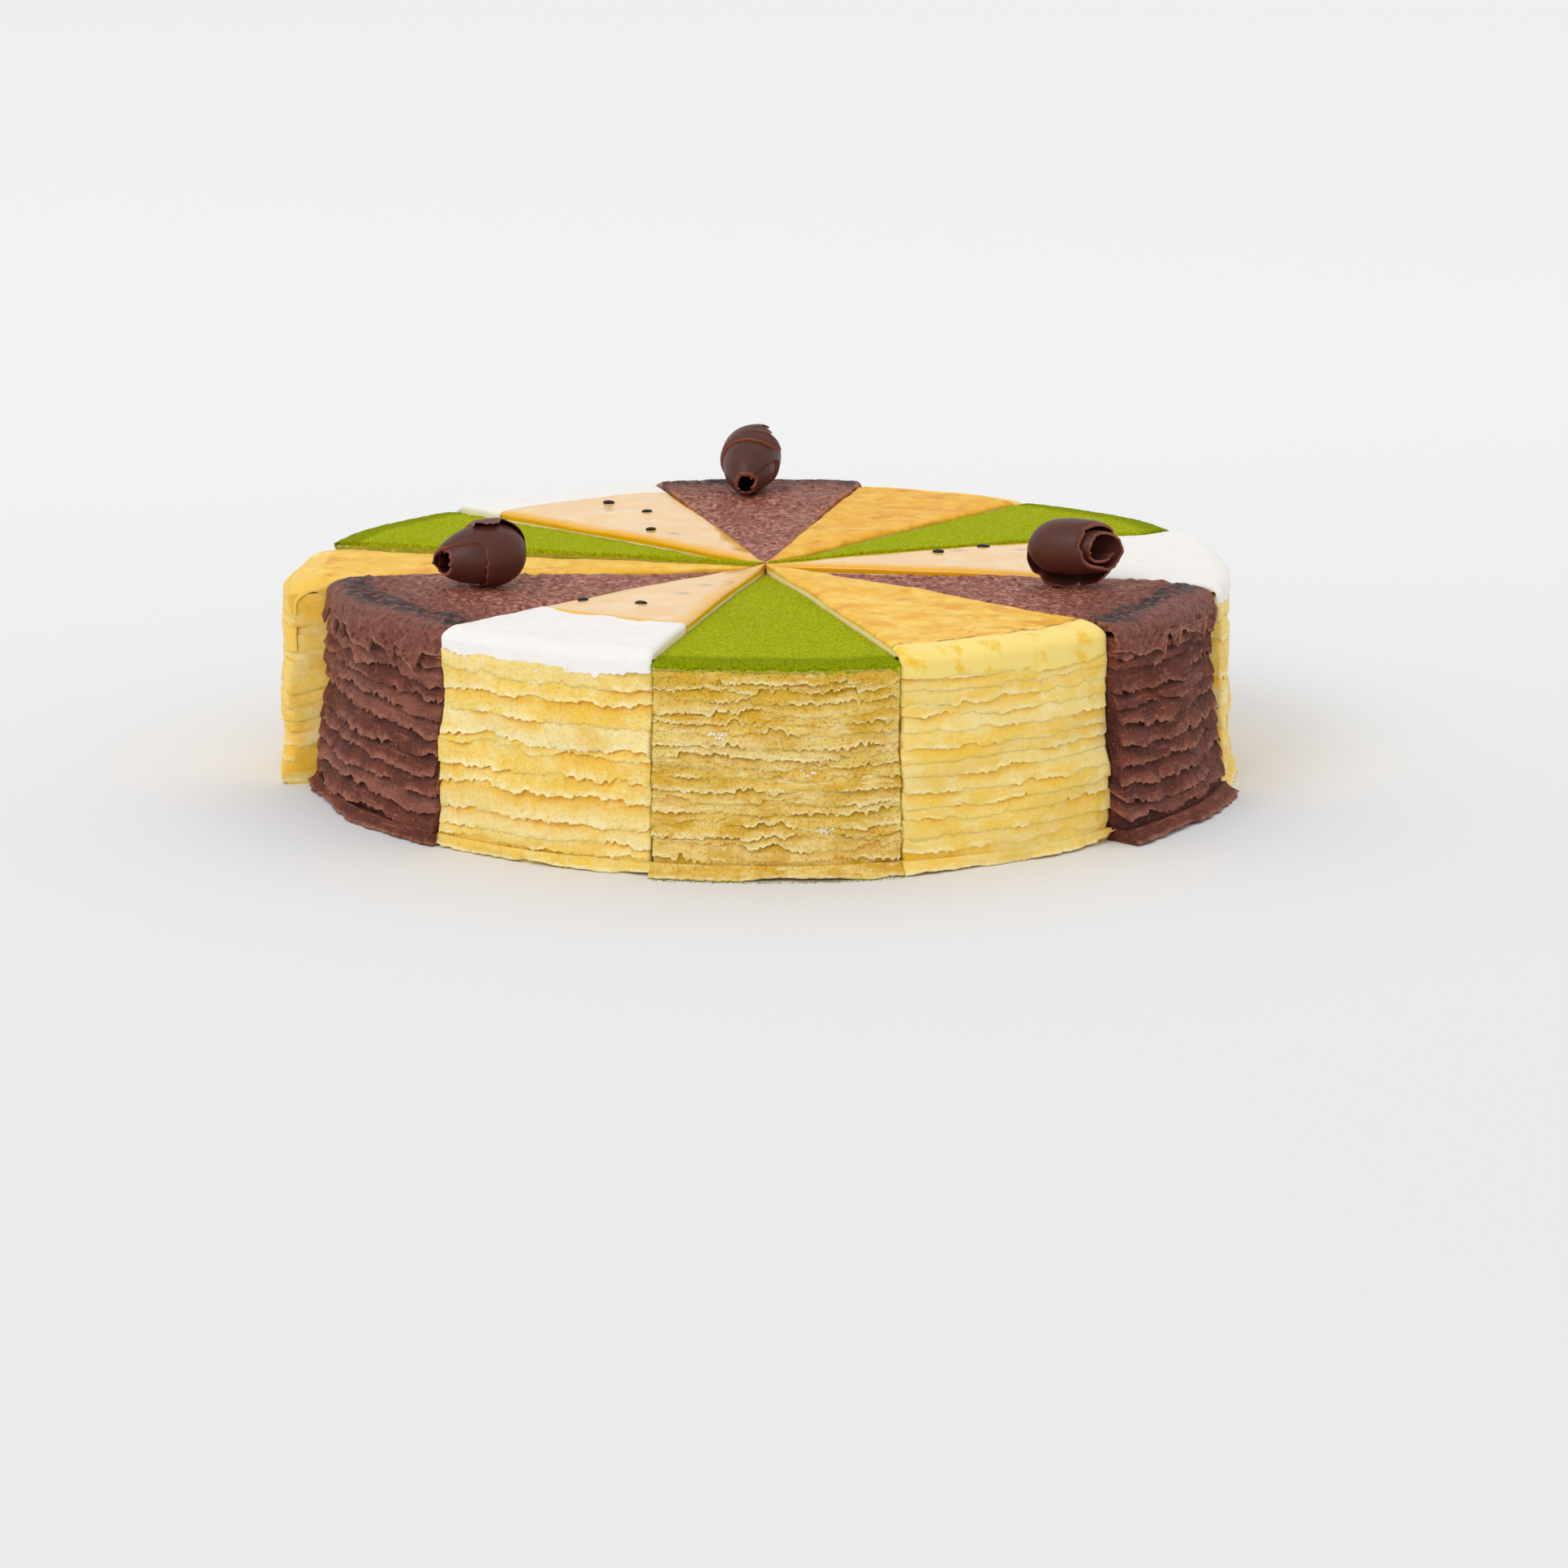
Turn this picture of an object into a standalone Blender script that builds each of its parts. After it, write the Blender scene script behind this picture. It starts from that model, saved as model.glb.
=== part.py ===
"""Crepe cake of twelve slices in four flavours, standing whole, with three rolled chocolate curls.

Units are metres, +Z is up, and the origin is the middle of the cake's flat underside.
Each slice has its own empty at the slice's tip, and the slice's pieces are parented to it:
a base crepe, a stack of drooping crepes, and what covers the stack. The curls lie on top.
"""

import math

import bmesh
import bpy
from mathutils import Matrix, Vector

# Whole cake, cut by eye: the knife cuts are bearings about +Z in degrees, slice by slice from the front
CUTS_AT = (-103.5, -73.5, -43.0, -15.0, 20.0, 50.5, 76.5, 106.0, 138.0, 168.0, 190.0, 226.5, 256.5)
SLICE_COUNT = len(CUTS_AT) - 1
RADIUS = 0.1128
LEAN = 0.0012
REACH_SHIFT = (0.0, 0.0006, 0.0036, 0.0044, 0.0010, 0.0, 0.0, 0.0, 0.0026, 0.0062, -0.0002, -0.0004)
# How much further the foot of each slice leans out, slice by slice from the front
FOOT_SHIFT = (0.0, 0.0, 0.0022, 0.0, 0.0, 0.0, 0.0, 0.0, 0.0, 0.0, 0.0012, 0.0)
KNIFE_GAP = 0.0006
GAP = 0.0003
ARC_STEPS = 8

# Base crepe: lies flat, and its edge spreads past the side of the slice
BASE_THICK = 0.0018
BASE_EDGE_THICK = 0.0009
BASE_REACH = (0.0030, 0.0014, 0.0036, 0.0022, 0.0012, 0.0018, 0.0030, 0.0016, 0.0014, 0.0024, 0.0018, 0.0012)
BASE_WAVER = 0.0009

# Top surface: flat, sinking a little towards the tips
SINK_RADIUS = 0.042
RIM_STEPS = 3
HEIGHT_SHIFT = (0.0, 0.0, 0.0, 0.0, 0.0022, 0.0, 0.0012, 0.0004, 0.0018, -0.0012, 0.0, 0.0)

# Outer side: every slice bulges a little beyond RIM_ZONE, and the lips of its crepes waver
RIM_ZONE = 0.1000
BULGE = 0.0006
LIP_WAVER = 0.0006
LIP_THICK = 0.0004
DRAPE_WAVER = 0.30
OVERHANG = 0.0009
COVER_PROUD = 0.0006

# Passion fruit slices: jelly inside, a band of cream along the rim
JELLY_THICK = 0.0030
BAND_FROM = {3: 0.0840, 7: 0.0930, 11: 0.0770}
BAND_SEAM = 0.0004

# Rolled curls
CURL_LENGTH = 0.0236
CURL_GIRTH = 0.0178
CURL_SHEET = 0.0009
CURL_WAIST = -0.22
CURL_MOUTH = 0.45
CURL_EDGE_AT = 0.985
CURL_ROWS = 12
CURL_STEPS = 20

# Curl on each chocolate slice: distance and bearing from the middle of the cake, where its open end points,
# and how far that end tips down
CURLS = {
    2: {"distance": 0.0826, "bearing": -23.8, "heading": -24, "tilt": -4},
    6: {"distance": 0.0901, "bearing": 92.9, "heading": -97, "tilt": 24},
    10: {"distance": 0.0776, "bearing": -154.6, "heading": -160, "tilt": 6},
}

# Flavours, in the order round the cake: height, sink towards the tip, thickness of the cover, its drape down
# the side and the rounding of its rim, the distance between the lips of the crepes, how far a lip stands out
FLAVOURS = (
    {
        "name": "matcha",
        "height": 0.0508,
        "sink": 0.0010,
        "cover": 0.0016,
        "drape": 0.0038,
        "rim": 0.0036,
        "pitch": 0.0041,
        "lip": 0.0013,
        "crepe": "matcha_crepe",
    },
    {
        "name": "plain",
        "height": 0.0534,
        "sink": 0.0012,
        "cover": 0.0015,
        "drape": 0.0050,
        "rim": 0.0042,
        "pitch": 0.0044,
        "lip": 0.0009,
        "crepe": "plain_crepe",
    },
    {
        "name": "chocolate",
        "height": 0.0532,
        "sink": 0.0026,
        "cover": 0.0016,
        "drape": 0.0078,
        "rim": 0.0028,
        "pitch": 0.0047,
        "lip": 0.0019,
        "crepe": "cocoa_crepe",
    },
    {
        "name": "passion",
        "height": 0.0534,
        "sink": 0.0012,
        "cover": 0.0030,
        "drape": 0.0050,
        "rim": 0.0036,
        "pitch": 0.0084,
        "lip": 0.0015,
        "crepe": "plain_crepe",
    },
)

# Colours are linear RGB
FINISHES = {
    "matcha_powder": ((0.36, 0.45, 0.02), 0.95),
    "matcha_crepe": ((0.68, 0.47, 0.13), 0.75),
    "plain_crepe": ((0.86, 0.62, 0.22), 0.55),
    "browned_crepe": ((0.86, 0.50, 0.10), 0.45),
    "cocoa_crepe": ((0.16, 0.055, 0.037), 0.60),
    "passion_jelly": ((0.90, 0.55, 0.16), 0.15),
    "whipped_cream": ((0.88, 0.85, 0.81), 0.70),
    "dark_chocolate": ((0.09, 0.038, 0.028), 0.35),
}


def clear_scene():
    """Removes everything the scene starts with."""
    for obj in list(bpy.data.objects):
        bpy.data.objects.remove(obj, do_unlink=True)


def finish(name):
    """The material of this name, made on first use."""
    material = bpy.data.materials.get(name)
    if material is None:
        colour, roughness = FINISHES[name]
        material = bpy.data.materials.new(name)
        material.use_nodes = True
        shader = material.node_tree.nodes["Principled BSDF"]
        shader.inputs["Base Color"].default_value = (*colour, 1.0)
        shader.inputs["Roughness"].default_value = roughness
        shader.inputs["Metallic"].default_value = 0.0
    return material


def waver(angle, level, index):
    """A smooth unevenness between -1 and 1 that differs along the rim, between levels and between slices."""
    slow = math.sin(7.0 * angle + 2.3 * level + 1.9 * index)
    quick = math.sin(17.0 * angle - 1.7 * level + 0.8 * index)
    return 0.65 * slow + 0.35 * quick


def side_shift(angle, height, index):
    """How far the side of a slice stands out: it leans out towards the base and bulges unevenly."""
    middle = FLAVOURS[0]["height"] / 2
    return (LEAN + FOOT_SHIFT[index]) * (1.0 - height / middle) + BULGE * waver(angle, 0.0, index)


def spun_wedge(outline, index):
    """A closed outline of (distance from the tip, height) points, turned about the tip between two cuts."""
    span = slice_span(index)
    bm = bmesh.new()
    corners = [bm.verts.new((reach, 0.0, height)) for reach, height in outline]
    face = bm.faces.new(corners)
    geometry = [face, *face.edges, *corners]
    bmesh.ops.rotate(bm, verts=corners, cent=(0, 0, 0), matrix=Matrix.Rotation(-span / 2, 3, "Z"))
    bmesh.ops.spin(
        bm,
        geom=geometry,
        cent=(0, 0, 0),
        axis=(0, 0, 1),
        angle=span,
        steps=ARC_STEPS,
        use_duplicate=False,
    )
    bmesh.ops.remove_doubles(bm, verts=bm.verts, dist=1e-6)
    bmesh.ops.recalc_face_normals(bm, faces=bm.faces)
    return bm


def move_rim(bm, shift):
    """Moves each point near the rim by shift(reach, angle, height), which gives (outwards, upwards)."""
    for vert in bm.verts:
        reach = math.hypot(vert.co.x, vert.co.y)
        if reach < RIM_ZONE:
            continue
        angle = math.atan2(vert.co.y, vert.co.x)
        outwards, upwards = shift(reach, angle, vert.co.z)
        scale = (reach + outwards) / reach
        vert.co = Vector((vert.co.x * scale, vert.co.y * scale, vert.co.z + upwards))


def add_piece(name, bm, finish_name, collection, parent=None):
    """Makes one named object of a mesh and hangs it on its slice."""
    mesh = bpy.data.meshes.new(name)
    bm.to_mesh(mesh)
    bm.free()
    mesh.materials.append(finish(finish_name))
    piece = bpy.data.objects.new(name, mesh)
    collection.objects.link(piece)
    piece.parent = parent
    return piece


def base_outline(index):
    """The base crepe: flat underneath, thinning out to its spread edge."""
    side = side_reach(index)
    edge = side + BASE_REACH[index]
    return [
        (0.0, 0.0),
        (edge, 0.0),
        (edge, BASE_EDGE_THICK),
        (side - 0.002, BASE_THICK),
        (0.0, BASE_THICK),
    ]


def stack_outline(index):
    """The stack of crepes: each lip droops over the one below, and the top is drawn in under the cover."""
    flavour, height, side = slice_flavour(index), slice_height(index), side_reach(index)
    top = height - flavour["cover"] - GAP
    tuck = side - flavour["lip"]
    under_cover = side + COVER_PROUD - cover_wall(flavour) - GAP
    highest_lip = height - flavour["drape"] * (1 + DRAPE_WAVER) - GAP
    bottom = BASE_THICK + GAP
    count = round((highest_lip - bottom) / flavour["pitch"])
    pitch = (highest_lip - bottom) / count
    outline = [(0.0, bottom), (tuck, bottom)]
    for level in range(count):
        low = bottom + level * pitch
        outline.append((side, low + LIP_THICK))
        if level < count - 1:
            outline.append((tuck, low + pitch + OVERHANG))
    neck = min(under_cover, tuck)
    shoulder = flavour["rim"] - cover_wall(flavour)
    outline.append((neck, highest_lip))
    outline.append((neck, top - shoulder))
    outline.append((under_cover - shoulder, top))
    outline.append((SINK_RADIUS, top))
    outline.append((0.0, top - flavour["sink"]))
    return outline


def rim_arc(reach, height, rounding):
    """Points over a rounded rim, from the side up to the top."""
    turns = [math.radians(90 * step / RIM_STEPS) for step in range(RIM_STEPS + 1)]
    return [
        (reach - rounding * (1.0 - math.cos(turn)), height - rounding * (1.0 - math.sin(turn))) for turn in turns
    ]


def cover_outline(index, inner_radius=0.0):
    """A cover of even thickness that rounds the rim and hangs down the side as far as its drape."""
    flavour, height = slice_flavour(index), slice_height(index)
    rim, edge, sink = flavour["rim"], height - flavour["drape"], flavour["sink"]
    outside = side_reach(index) + COVER_PROUD
    inside = outside - cover_wall(flavour)
    shoulder = rim - cover_wall(flavour)
    below = height - flavour["cover"]
    outline = [(inside, edge), (outside, edge)]
    outline += rim_arc(outside, height, rim)
    if inner_radius:
        outline += [(inner_radius, height), (inner_radius, below)]
    else:
        outline += [
            (SINK_RADIUS, height),
            (0.0, height - sink),
            (0.0, below - sink),
            (SINK_RADIUS, below),
        ]
    outline += [(inside - shoulder, below), (inside, below - shoulder)]
    return outline


def jelly_outline(index):
    """The slab of jelly from the tip out to the cream band."""
    height, sink = slice_height(index), slice_flavour(index)["sink"]
    below = height - JELLY_THICK
    edge = BAND_FROM[index] - BAND_SEAM
    return [
        (0.0, below - sink),
        (SINK_RADIUS, below),
        (edge, below),
        (edge, height),
        (SINK_RADIUS, height),
        (0.0, height - sink),
    ]


def make_base(index, collection, tip):
    """The bottom crepe of a slice."""
    bm = spun_wedge(base_outline(index), index)
    spread_from = side_reach(index) + BASE_REACH[index] / 2

    def spread(reach, angle, height):
        uneven = BASE_WAVER * waver(angle, 1.0, index) if reach > spread_from else 0.0
        return side_shift(angle, height, index) + uneven, 0.0

    move_rim(bm, spread)
    add_piece(piece_name(index, "base_crepe"), bm, slice_flavour(index)["crepe"], collection, tip)


def make_stack(index, collection, tip):
    """The stack of crepes between the base and the cover."""
    bm = spun_wedge(stack_outline(index), index)
    lip_line = side_reach(index) - 0.0002
    pitch = slice_flavour(index)["pitch"]

    def droop(reach, angle, height):
        outwards = side_shift(angle, height, index)
        if reach > lip_line:
            outwards += LIP_WAVER * waver(angle, 2.1 * height / pitch, index)
        return outwards, 0.0

    move_rim(bm, droop)
    add_piece(piece_name(index, "crepe_stack"), bm, slice_flavour(index)["crepe"], collection, tip)


def make_cover(index, suffix, finish_name, collection, tip, inner_radius=0.0):
    """The top crepe, or the band of cream: its hanging edge wavers up and down."""
    bm = spun_wedge(cover_outline(index, inner_radius), index)
    drape = slice_flavour(index)["drape"]
    edge = slice_height(index) - drape

    def hang(reach, angle, height):
        hanging = height < edge + 1e-5
        drop = DRAPE_WAVER * drape * (1.0 + waver(angle, 3.0, index)) / 2 if hanging else 0.0
        return side_shift(angle, height, index), -drop

    move_rim(bm, hang)
    add_piece(piece_name(index, suffix), bm, finish_name, collection, tip)


def curl_outline():
    """The rolled sheet's outside from its blunt end to its narrow open end, then back inside the mouth."""
    half, girth = CURL_LENGTH / 2, CURL_GIRTH / 2
    outline = []
    for step in range(CURL_ROWS + 1):
        along = math.cos(math.pi * (1.0 - step / CURL_ROWS))
        if along < CURL_WAIST:
            share = (CURL_WAIST - along) / (1.0 + CURL_WAIST)
            width = (1.0 - share**2.2) ** 0.5
        else:
            share = (along - CURL_WAIST) / (1.0 - CURL_WAIST)
            width = 1.0 - (1.0 - CURL_MOUTH) * share**2.8
        outline.append((half * along, girth * max(width, 0.10)))
    mouth = girth * CURL_MOUTH
    outline.append((half * 0.97, mouth - CURL_SHEET))
    outline.append((half * 0.62, mouth - 1.5 * CURL_SHEET))
    return outline


def curl_mesh():
    """A chocolate shaving rolled into an egg: open at the +X end, with the sheet's edge as a step along it."""
    bm = bmesh.new()
    rings = []
    for along, width in curl_outline():
        step_height = CURL_SHEET * min(1.0, 3.0 * width / CURL_GIRTH)
        ring = []
        for step in range(CURL_STEPS + 1):
            share = step / CURL_STEPS
            turn = math.tau * min(share, CURL_EDGE_AT)
            reach = width - step_height * (1.0 - share)
            ring.append(bm.verts.new((along, reach * math.cos(turn), reach * math.sin(turn))))
        rings.append(ring)
    for low, high in zip(rings, rings[1:]):
        for step, (left, lower) in enumerate(zip(low, high)):
            after = (step + 1) % (CURL_STEPS + 1)
            bm.faces.new((left, low[after], high[after], lower))
    for ring in (rings[0], rings[-1]):
        tip = bm.verts.new((ring[0].co.x, 0.0, 0.0))
        for step, corner in enumerate(ring):
            bm.faces.new((corner, ring[(step + 1) % (CURL_STEPS + 1)], tip))
    bmesh.ops.recalc_face_normals(bm, faces=bm.faces)
    return bm


def make_curl(index, collection):
    """Lays a curl on top of a chocolate slice, its open end turned to its heading."""
    place = CURLS[index]
    curl = add_piece(piece_name(index, "curl"), curl_mesh(), "dark_chocolate", collection)
    heading = Matrix.Rotation(math.radians(place["heading"]), 4, "Z")
    turn = heading @ Matrix.Rotation(math.radians(place["tilt"]), 4, "Y")
    curl.rotation_euler = turn.to_euler()
    lowest = min((turn @ vert.co).z for vert in curl.data.vertices)
    bearing = math.radians(place["bearing"])
    curl.location = (
        place["distance"] * math.cos(bearing),
        place["distance"] * math.sin(bearing),
        slice_height(index) + GAP - lowest,
    )
    curl.data.shade_smooth()
    curl.data.set_sharp_from_angle(angle=math.radians(40))


def slice_flavour(index):
    """The flavours follow each other in the same order all the way round."""
    return FLAVOURS[index % len(FLAVOURS)]


def slice_height(index):
    """Height of a slice's flat top."""
    return slice_flavour(index)["height"] + HEIGHT_SHIFT[index]


def slice_span(index):
    """Angle between a slice's two cuts."""
    return math.radians(CUTS_AT[index + 1] - CUTS_AT[index])


def slice_heading(index):
    """The direction that a slice points in, as an angle about +Z."""
    return math.radians((CUTS_AT[index] + CUTS_AT[index + 1]) / 2)


def tip_shift(index):
    """How far a slice is drawn out of the middle, so that each cut is KNIFE_GAP wide."""
    return KNIFE_GAP / 2 / math.sin(slice_span(index) / 2)


def side_reach(index):
    """Distance from a slice's tip to its outer side."""
    return RADIUS + REACH_SHIFT[index] - tip_shift(index)


def cover_wall(flavour):
    """Thickness of a cover where it hangs down the side."""
    return min(flavour["cover"], 0.0018)


def piece_name(index, suffix):
    """Names run flavour_number_piece, with numbers from 1 to 3 in each flavour."""
    return f"{slice_flavour(index)['name']}_{index // len(FLAVOURS) + 1}_{suffix}"


def make_slice(index, collection):
    """One slice: its empty stands at the tip and points outwards."""
    heading = slice_heading(index)
    tip = bpy.data.objects.new(f"slice_{index + 1}", None)
    collection.objects.link(tip)
    tip.location = (tip_shift(index) * math.cos(heading), tip_shift(index) * math.sin(heading), 0.0)
    tip.rotation_euler = (0.0, 0.0, heading)
    make_base(index, collection, tip)
    make_stack(index, collection, tip)
    flavour = slice_flavour(index)["name"]
    if flavour == "matcha":
        make_cover(index, "powdered_top", "matcha_powder", collection, tip)
    elif flavour == "plain":
        make_cover(index, "browned_top", "browned_crepe", collection, tip)
    elif flavour == "chocolate":
        make_cover(index, "cocoa_top", "cocoa_crepe", collection, tip)
        make_curl(index, collection)
    else:
        make_cover(index, "cream_band", "whipped_cream", collection, tip, BAND_FROM[index])
        jelly = spun_wedge(jelly_outline(index), index)
        add_piece(piece_name(index, "jelly"), jelly, "passion_jelly", collection, tip)


def main():
    clear_scene()
    collection = bpy.data.collections.new("crepe_cake")
    bpy.context.scene.collection.children.link(collection)
    for index in range(SLICE_COUNT):
        make_slice(index, collection)


main()
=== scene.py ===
"""Looks of a crepe cake: twelve slices in four flavours, with three rolled chocolate curls on top.

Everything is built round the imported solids, in metres and in their places. Sizes named in a class are
in millimetres, because crepes are thin, and are turned into metres where the points are set down.
"""

import logging
import math
from collections.abc import Callable
from dataclasses import dataclass, field, replace
from enum import Enum

import bmesh
import bpy
import numpy as np
from mathutils import Euler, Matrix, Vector


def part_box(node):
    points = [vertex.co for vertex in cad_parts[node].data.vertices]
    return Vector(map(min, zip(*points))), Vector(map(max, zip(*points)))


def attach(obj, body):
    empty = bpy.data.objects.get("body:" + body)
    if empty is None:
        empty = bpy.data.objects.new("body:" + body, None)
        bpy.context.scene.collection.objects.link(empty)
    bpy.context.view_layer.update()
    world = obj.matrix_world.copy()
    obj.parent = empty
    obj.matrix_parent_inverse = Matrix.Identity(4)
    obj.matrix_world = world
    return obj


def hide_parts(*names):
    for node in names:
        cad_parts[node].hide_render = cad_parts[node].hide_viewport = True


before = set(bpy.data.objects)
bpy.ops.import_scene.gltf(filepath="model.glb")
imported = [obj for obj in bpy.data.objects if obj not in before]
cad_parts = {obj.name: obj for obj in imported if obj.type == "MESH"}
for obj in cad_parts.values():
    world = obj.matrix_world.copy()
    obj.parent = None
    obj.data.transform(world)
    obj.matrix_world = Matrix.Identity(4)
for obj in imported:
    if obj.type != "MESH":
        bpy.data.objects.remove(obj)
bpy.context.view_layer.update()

LOG = logging.getLogger("crepe_cake")
MM = 0.001
CUT_GAP = 0.00028
Grid = np.ndarray
Colour = tuple[float, float, float, float]


def display(red: int, green: int, blue: int) -> Colour:
    """Gives the linear colour that a screen shows as these values.

    Args:
        red: Red from 0 to 255.
        green: Green from 0 to 255.
        blue: Blue from 0 to 255.

    Returns:
        The linear colour with full opacity.
    """
    parts = [value / 255 for value in (red, green, blue)]
    return (*(part / 12.92 if part <= 0.04045 else ((part + 0.055) / 1.055) ** 2.4 for part in parts), 1.0)


def points_of(*parts: Grid | float) -> Grid:
    """Stacks x, y and z, of any shapes that fit together, into points."""
    return np.stack(np.broadcast_arrays(*parts), axis=-1)


def lattice(points: Grid, seed: int) -> Grid:
    """Gives smooth noise with features one unit wide.

    Args:
        points: Points, with x, y and z along the last axis.
        seed: Chooses the pattern.

    Returns:
        Values between -1 and 1.
    """
    cell = np.floor(points).astype(np.int64)
    part = points - cell
    fade = part * part * (3 - 2 * part)
    total = np.zeros(points.shape[:-1])
    for corner in np.ndindex(2, 2, 2):
        place = cell + np.array(corner)
        mixed = place @ np.array([73856093, 19349663, 83492791]) + seed * 26544357
        mixed = ((mixed ^ mixed >> 13) * 1274126177) & 0x7FFFFFFF
        mixed = ((mixed ^ mixed >> 15) * 668265263) & 0x7FFFFFFF
        value = (mixed >> 9 & 0xFFFF) / 32767.5 - 1
        total += value * np.prod(np.where(corner, fade, 1 - fade), axis=-1)
    return total


def noise(points: Grid, size: float | tuple[float, float, float], seed: int, layers: int = 3) -> Grid:
    """Layers noise, each layer half as wide and half as strong as the last.

    Args:
        points: Points in millimetres.
        size: Width of the largest features, or one width for each axis.
        seed: Chooses the pattern.
        layers: How many layers.

    Returns:
        Values between -1 and 1, mostly within a half.
    """
    scaled = points / np.array(size)
    total, weight, whole = np.zeros(points.shape[:-1]), 1.0, 0.0
    for layer in range(layers):
        total += weight * lattice(scaled * 2**layer, seed + 31 * layer)
        whole += weight
        weight /= 2
    return total / whole


def vertices_of(node: str) -> Grid:
    """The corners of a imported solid, in metres."""
    found = np.empty(len(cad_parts[node].data.vertices) * 3, np.float32)
    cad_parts[node].data.vertices.foreach_get("co", found)
    return found.reshape(-1, 3).astype(float)


class Slot(Enum):
    """The record's material slots."""

    POWDER = "matcha_powder"
    MATCHA = "matcha_crepe"
    PLAIN = "plain_crepe"
    BROWNED = "browned_crepe"
    COCOA = "cocoa_crepe"
    JELLY = "passion_jelly"
    CREAM = "whipped_cream"
    DARK = "dark_chocolate"


class Skin:
    """A closed surface in the making: grids of points and caps, each with its place on the flat map."""

    def __init__(self) -> None:
        """Starts with no points."""
        self.points: list[Grid] = []
        self.faces: list[list[int]] = []
        self.places: list[Grid] = []
        self.masks: dict[str, list[tuple[int, Grid]]] = {}
        self.count = 0
        self.shelf = 0.0

    def add_points(self, points: Grid, masks: dict[str, Grid] | None = None) -> Grid:
        """Adds points with their masks.

        Args:
            points: Points in metres, of any shape.
            masks: Values between pieces of the finish, each of the points' shape.

        Returns:
            The points' numbers, in the same shape.
        """
        numbers = self.count + np.arange(points[..., 0].size).reshape(points.shape[:-1])
        self.points.append(points.reshape(-1, 3))
        for name, values in (masks or {}).items():
            whole = np.broadcast_to(values, points.shape[:-1]).reshape(-1)
            self.masks.setdefault(name, []).append((self.count, whole))
        self.count += numbers.size
        return numbers

    def add_quads(self, numbers: Grid, flat: Grid) -> None:
        """Joins a grid of points with four-sided faces.

        Args:
            numbers: The points' numbers, row by row.
            flat: Each point's place on the flat map, in metres.
        """
        def corners(values: Grid) -> Grid:
            """The four corners of every cell."""
            return np.stack((values[:-1, :-1], values[:-1, 1:], values[1:, 1:], values[1:, :-1]), axis=2)

        low = flat.reshape(-1, 2).min(axis=0)
        self.faces += corners(numbers).reshape(-1, 4).tolist()
        self.places.append(corners(flat - low).reshape(-1, 2) + (self.shelf, 0.0))
        self.shelf += np.ptp(flat[..., 0]) + MM

    def add_cap(self, loop: Grid, flat: Grid, scale: float = 0.2) -> None:
        """Closes a loop of points with one face.

        Args:
            loop: The points' numbers in order.
            flat: Their places on the flat map, in metres.
            scale: Size on the flat map, against true size.
        """
        self.faces.append(loop.tolist())
        placed = (flat - flat.min(axis=0)) * scale
        self.places.append(placed + (self.shelf, 0.0))
        self.shelf += np.ptp(placed[:, 0]) + MM

    def make(self, name: str, crease: float = 60.0) -> bpy.types.Object:
        """Turns the points and faces into an object.

        Args:
            name: The object's name.
            crease: Faces that meet more sharply than this, in degrees, keep a hard edge.

        Returns:
            The object, linked to the scene.
        """
        mesh = bpy.data.meshes.new(name)
        mesh.from_pydata(np.concatenate(self.points).tolist(), [], self.faces)
        places = np.concatenate(self.places)
        flat_map = mesh.uv_layers.new(name="OFBake")
        flat_map.data.foreach_set("uv", (places / places.max()).astype(np.float32).ravel())
        for mask, parts in self.masks.items():
            values = np.zeros(self.count, np.float32)
            for first, part in parts:
                values[first : first + len(part)] = part
            mesh.attributes.new(mask, "FLOAT", "POINT").data.foreach_set("value", values)
        bm = bmesh.new()
        bm.from_mesh(mesh)
        bmesh.ops.recalc_face_normals(bm, faces=bm.faces)
        bm.to_mesh(mesh)
        bm.free()
        mesh.shade_smooth()
        mesh.set_sharp_from_angle(angle=math.radians(crease))
        piece = bpy.data.objects.new(name, mesh)
        bpy.context.scene.collection.objects.link(piece)
        return piece


def settle(piece: bpy.types.Object, slot: Slot, finish: bpy.types.Material, *nodes: str) -> None:
    """Gives a piece its finish and its place in the model.

    Args:
        piece: The piece.
        slot: The record's slot that its finish belongs to.
        finish: Its material.
        nodes: The solids that it stands for.
    """
    piece.data.materials.append(finish)
    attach(piece, "root")
    if nodes:
        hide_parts(*nodes)
    LOG.info("%s: %d faces, slot %s", piece.name, len(piece.data.polygons), slot.value)


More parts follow.
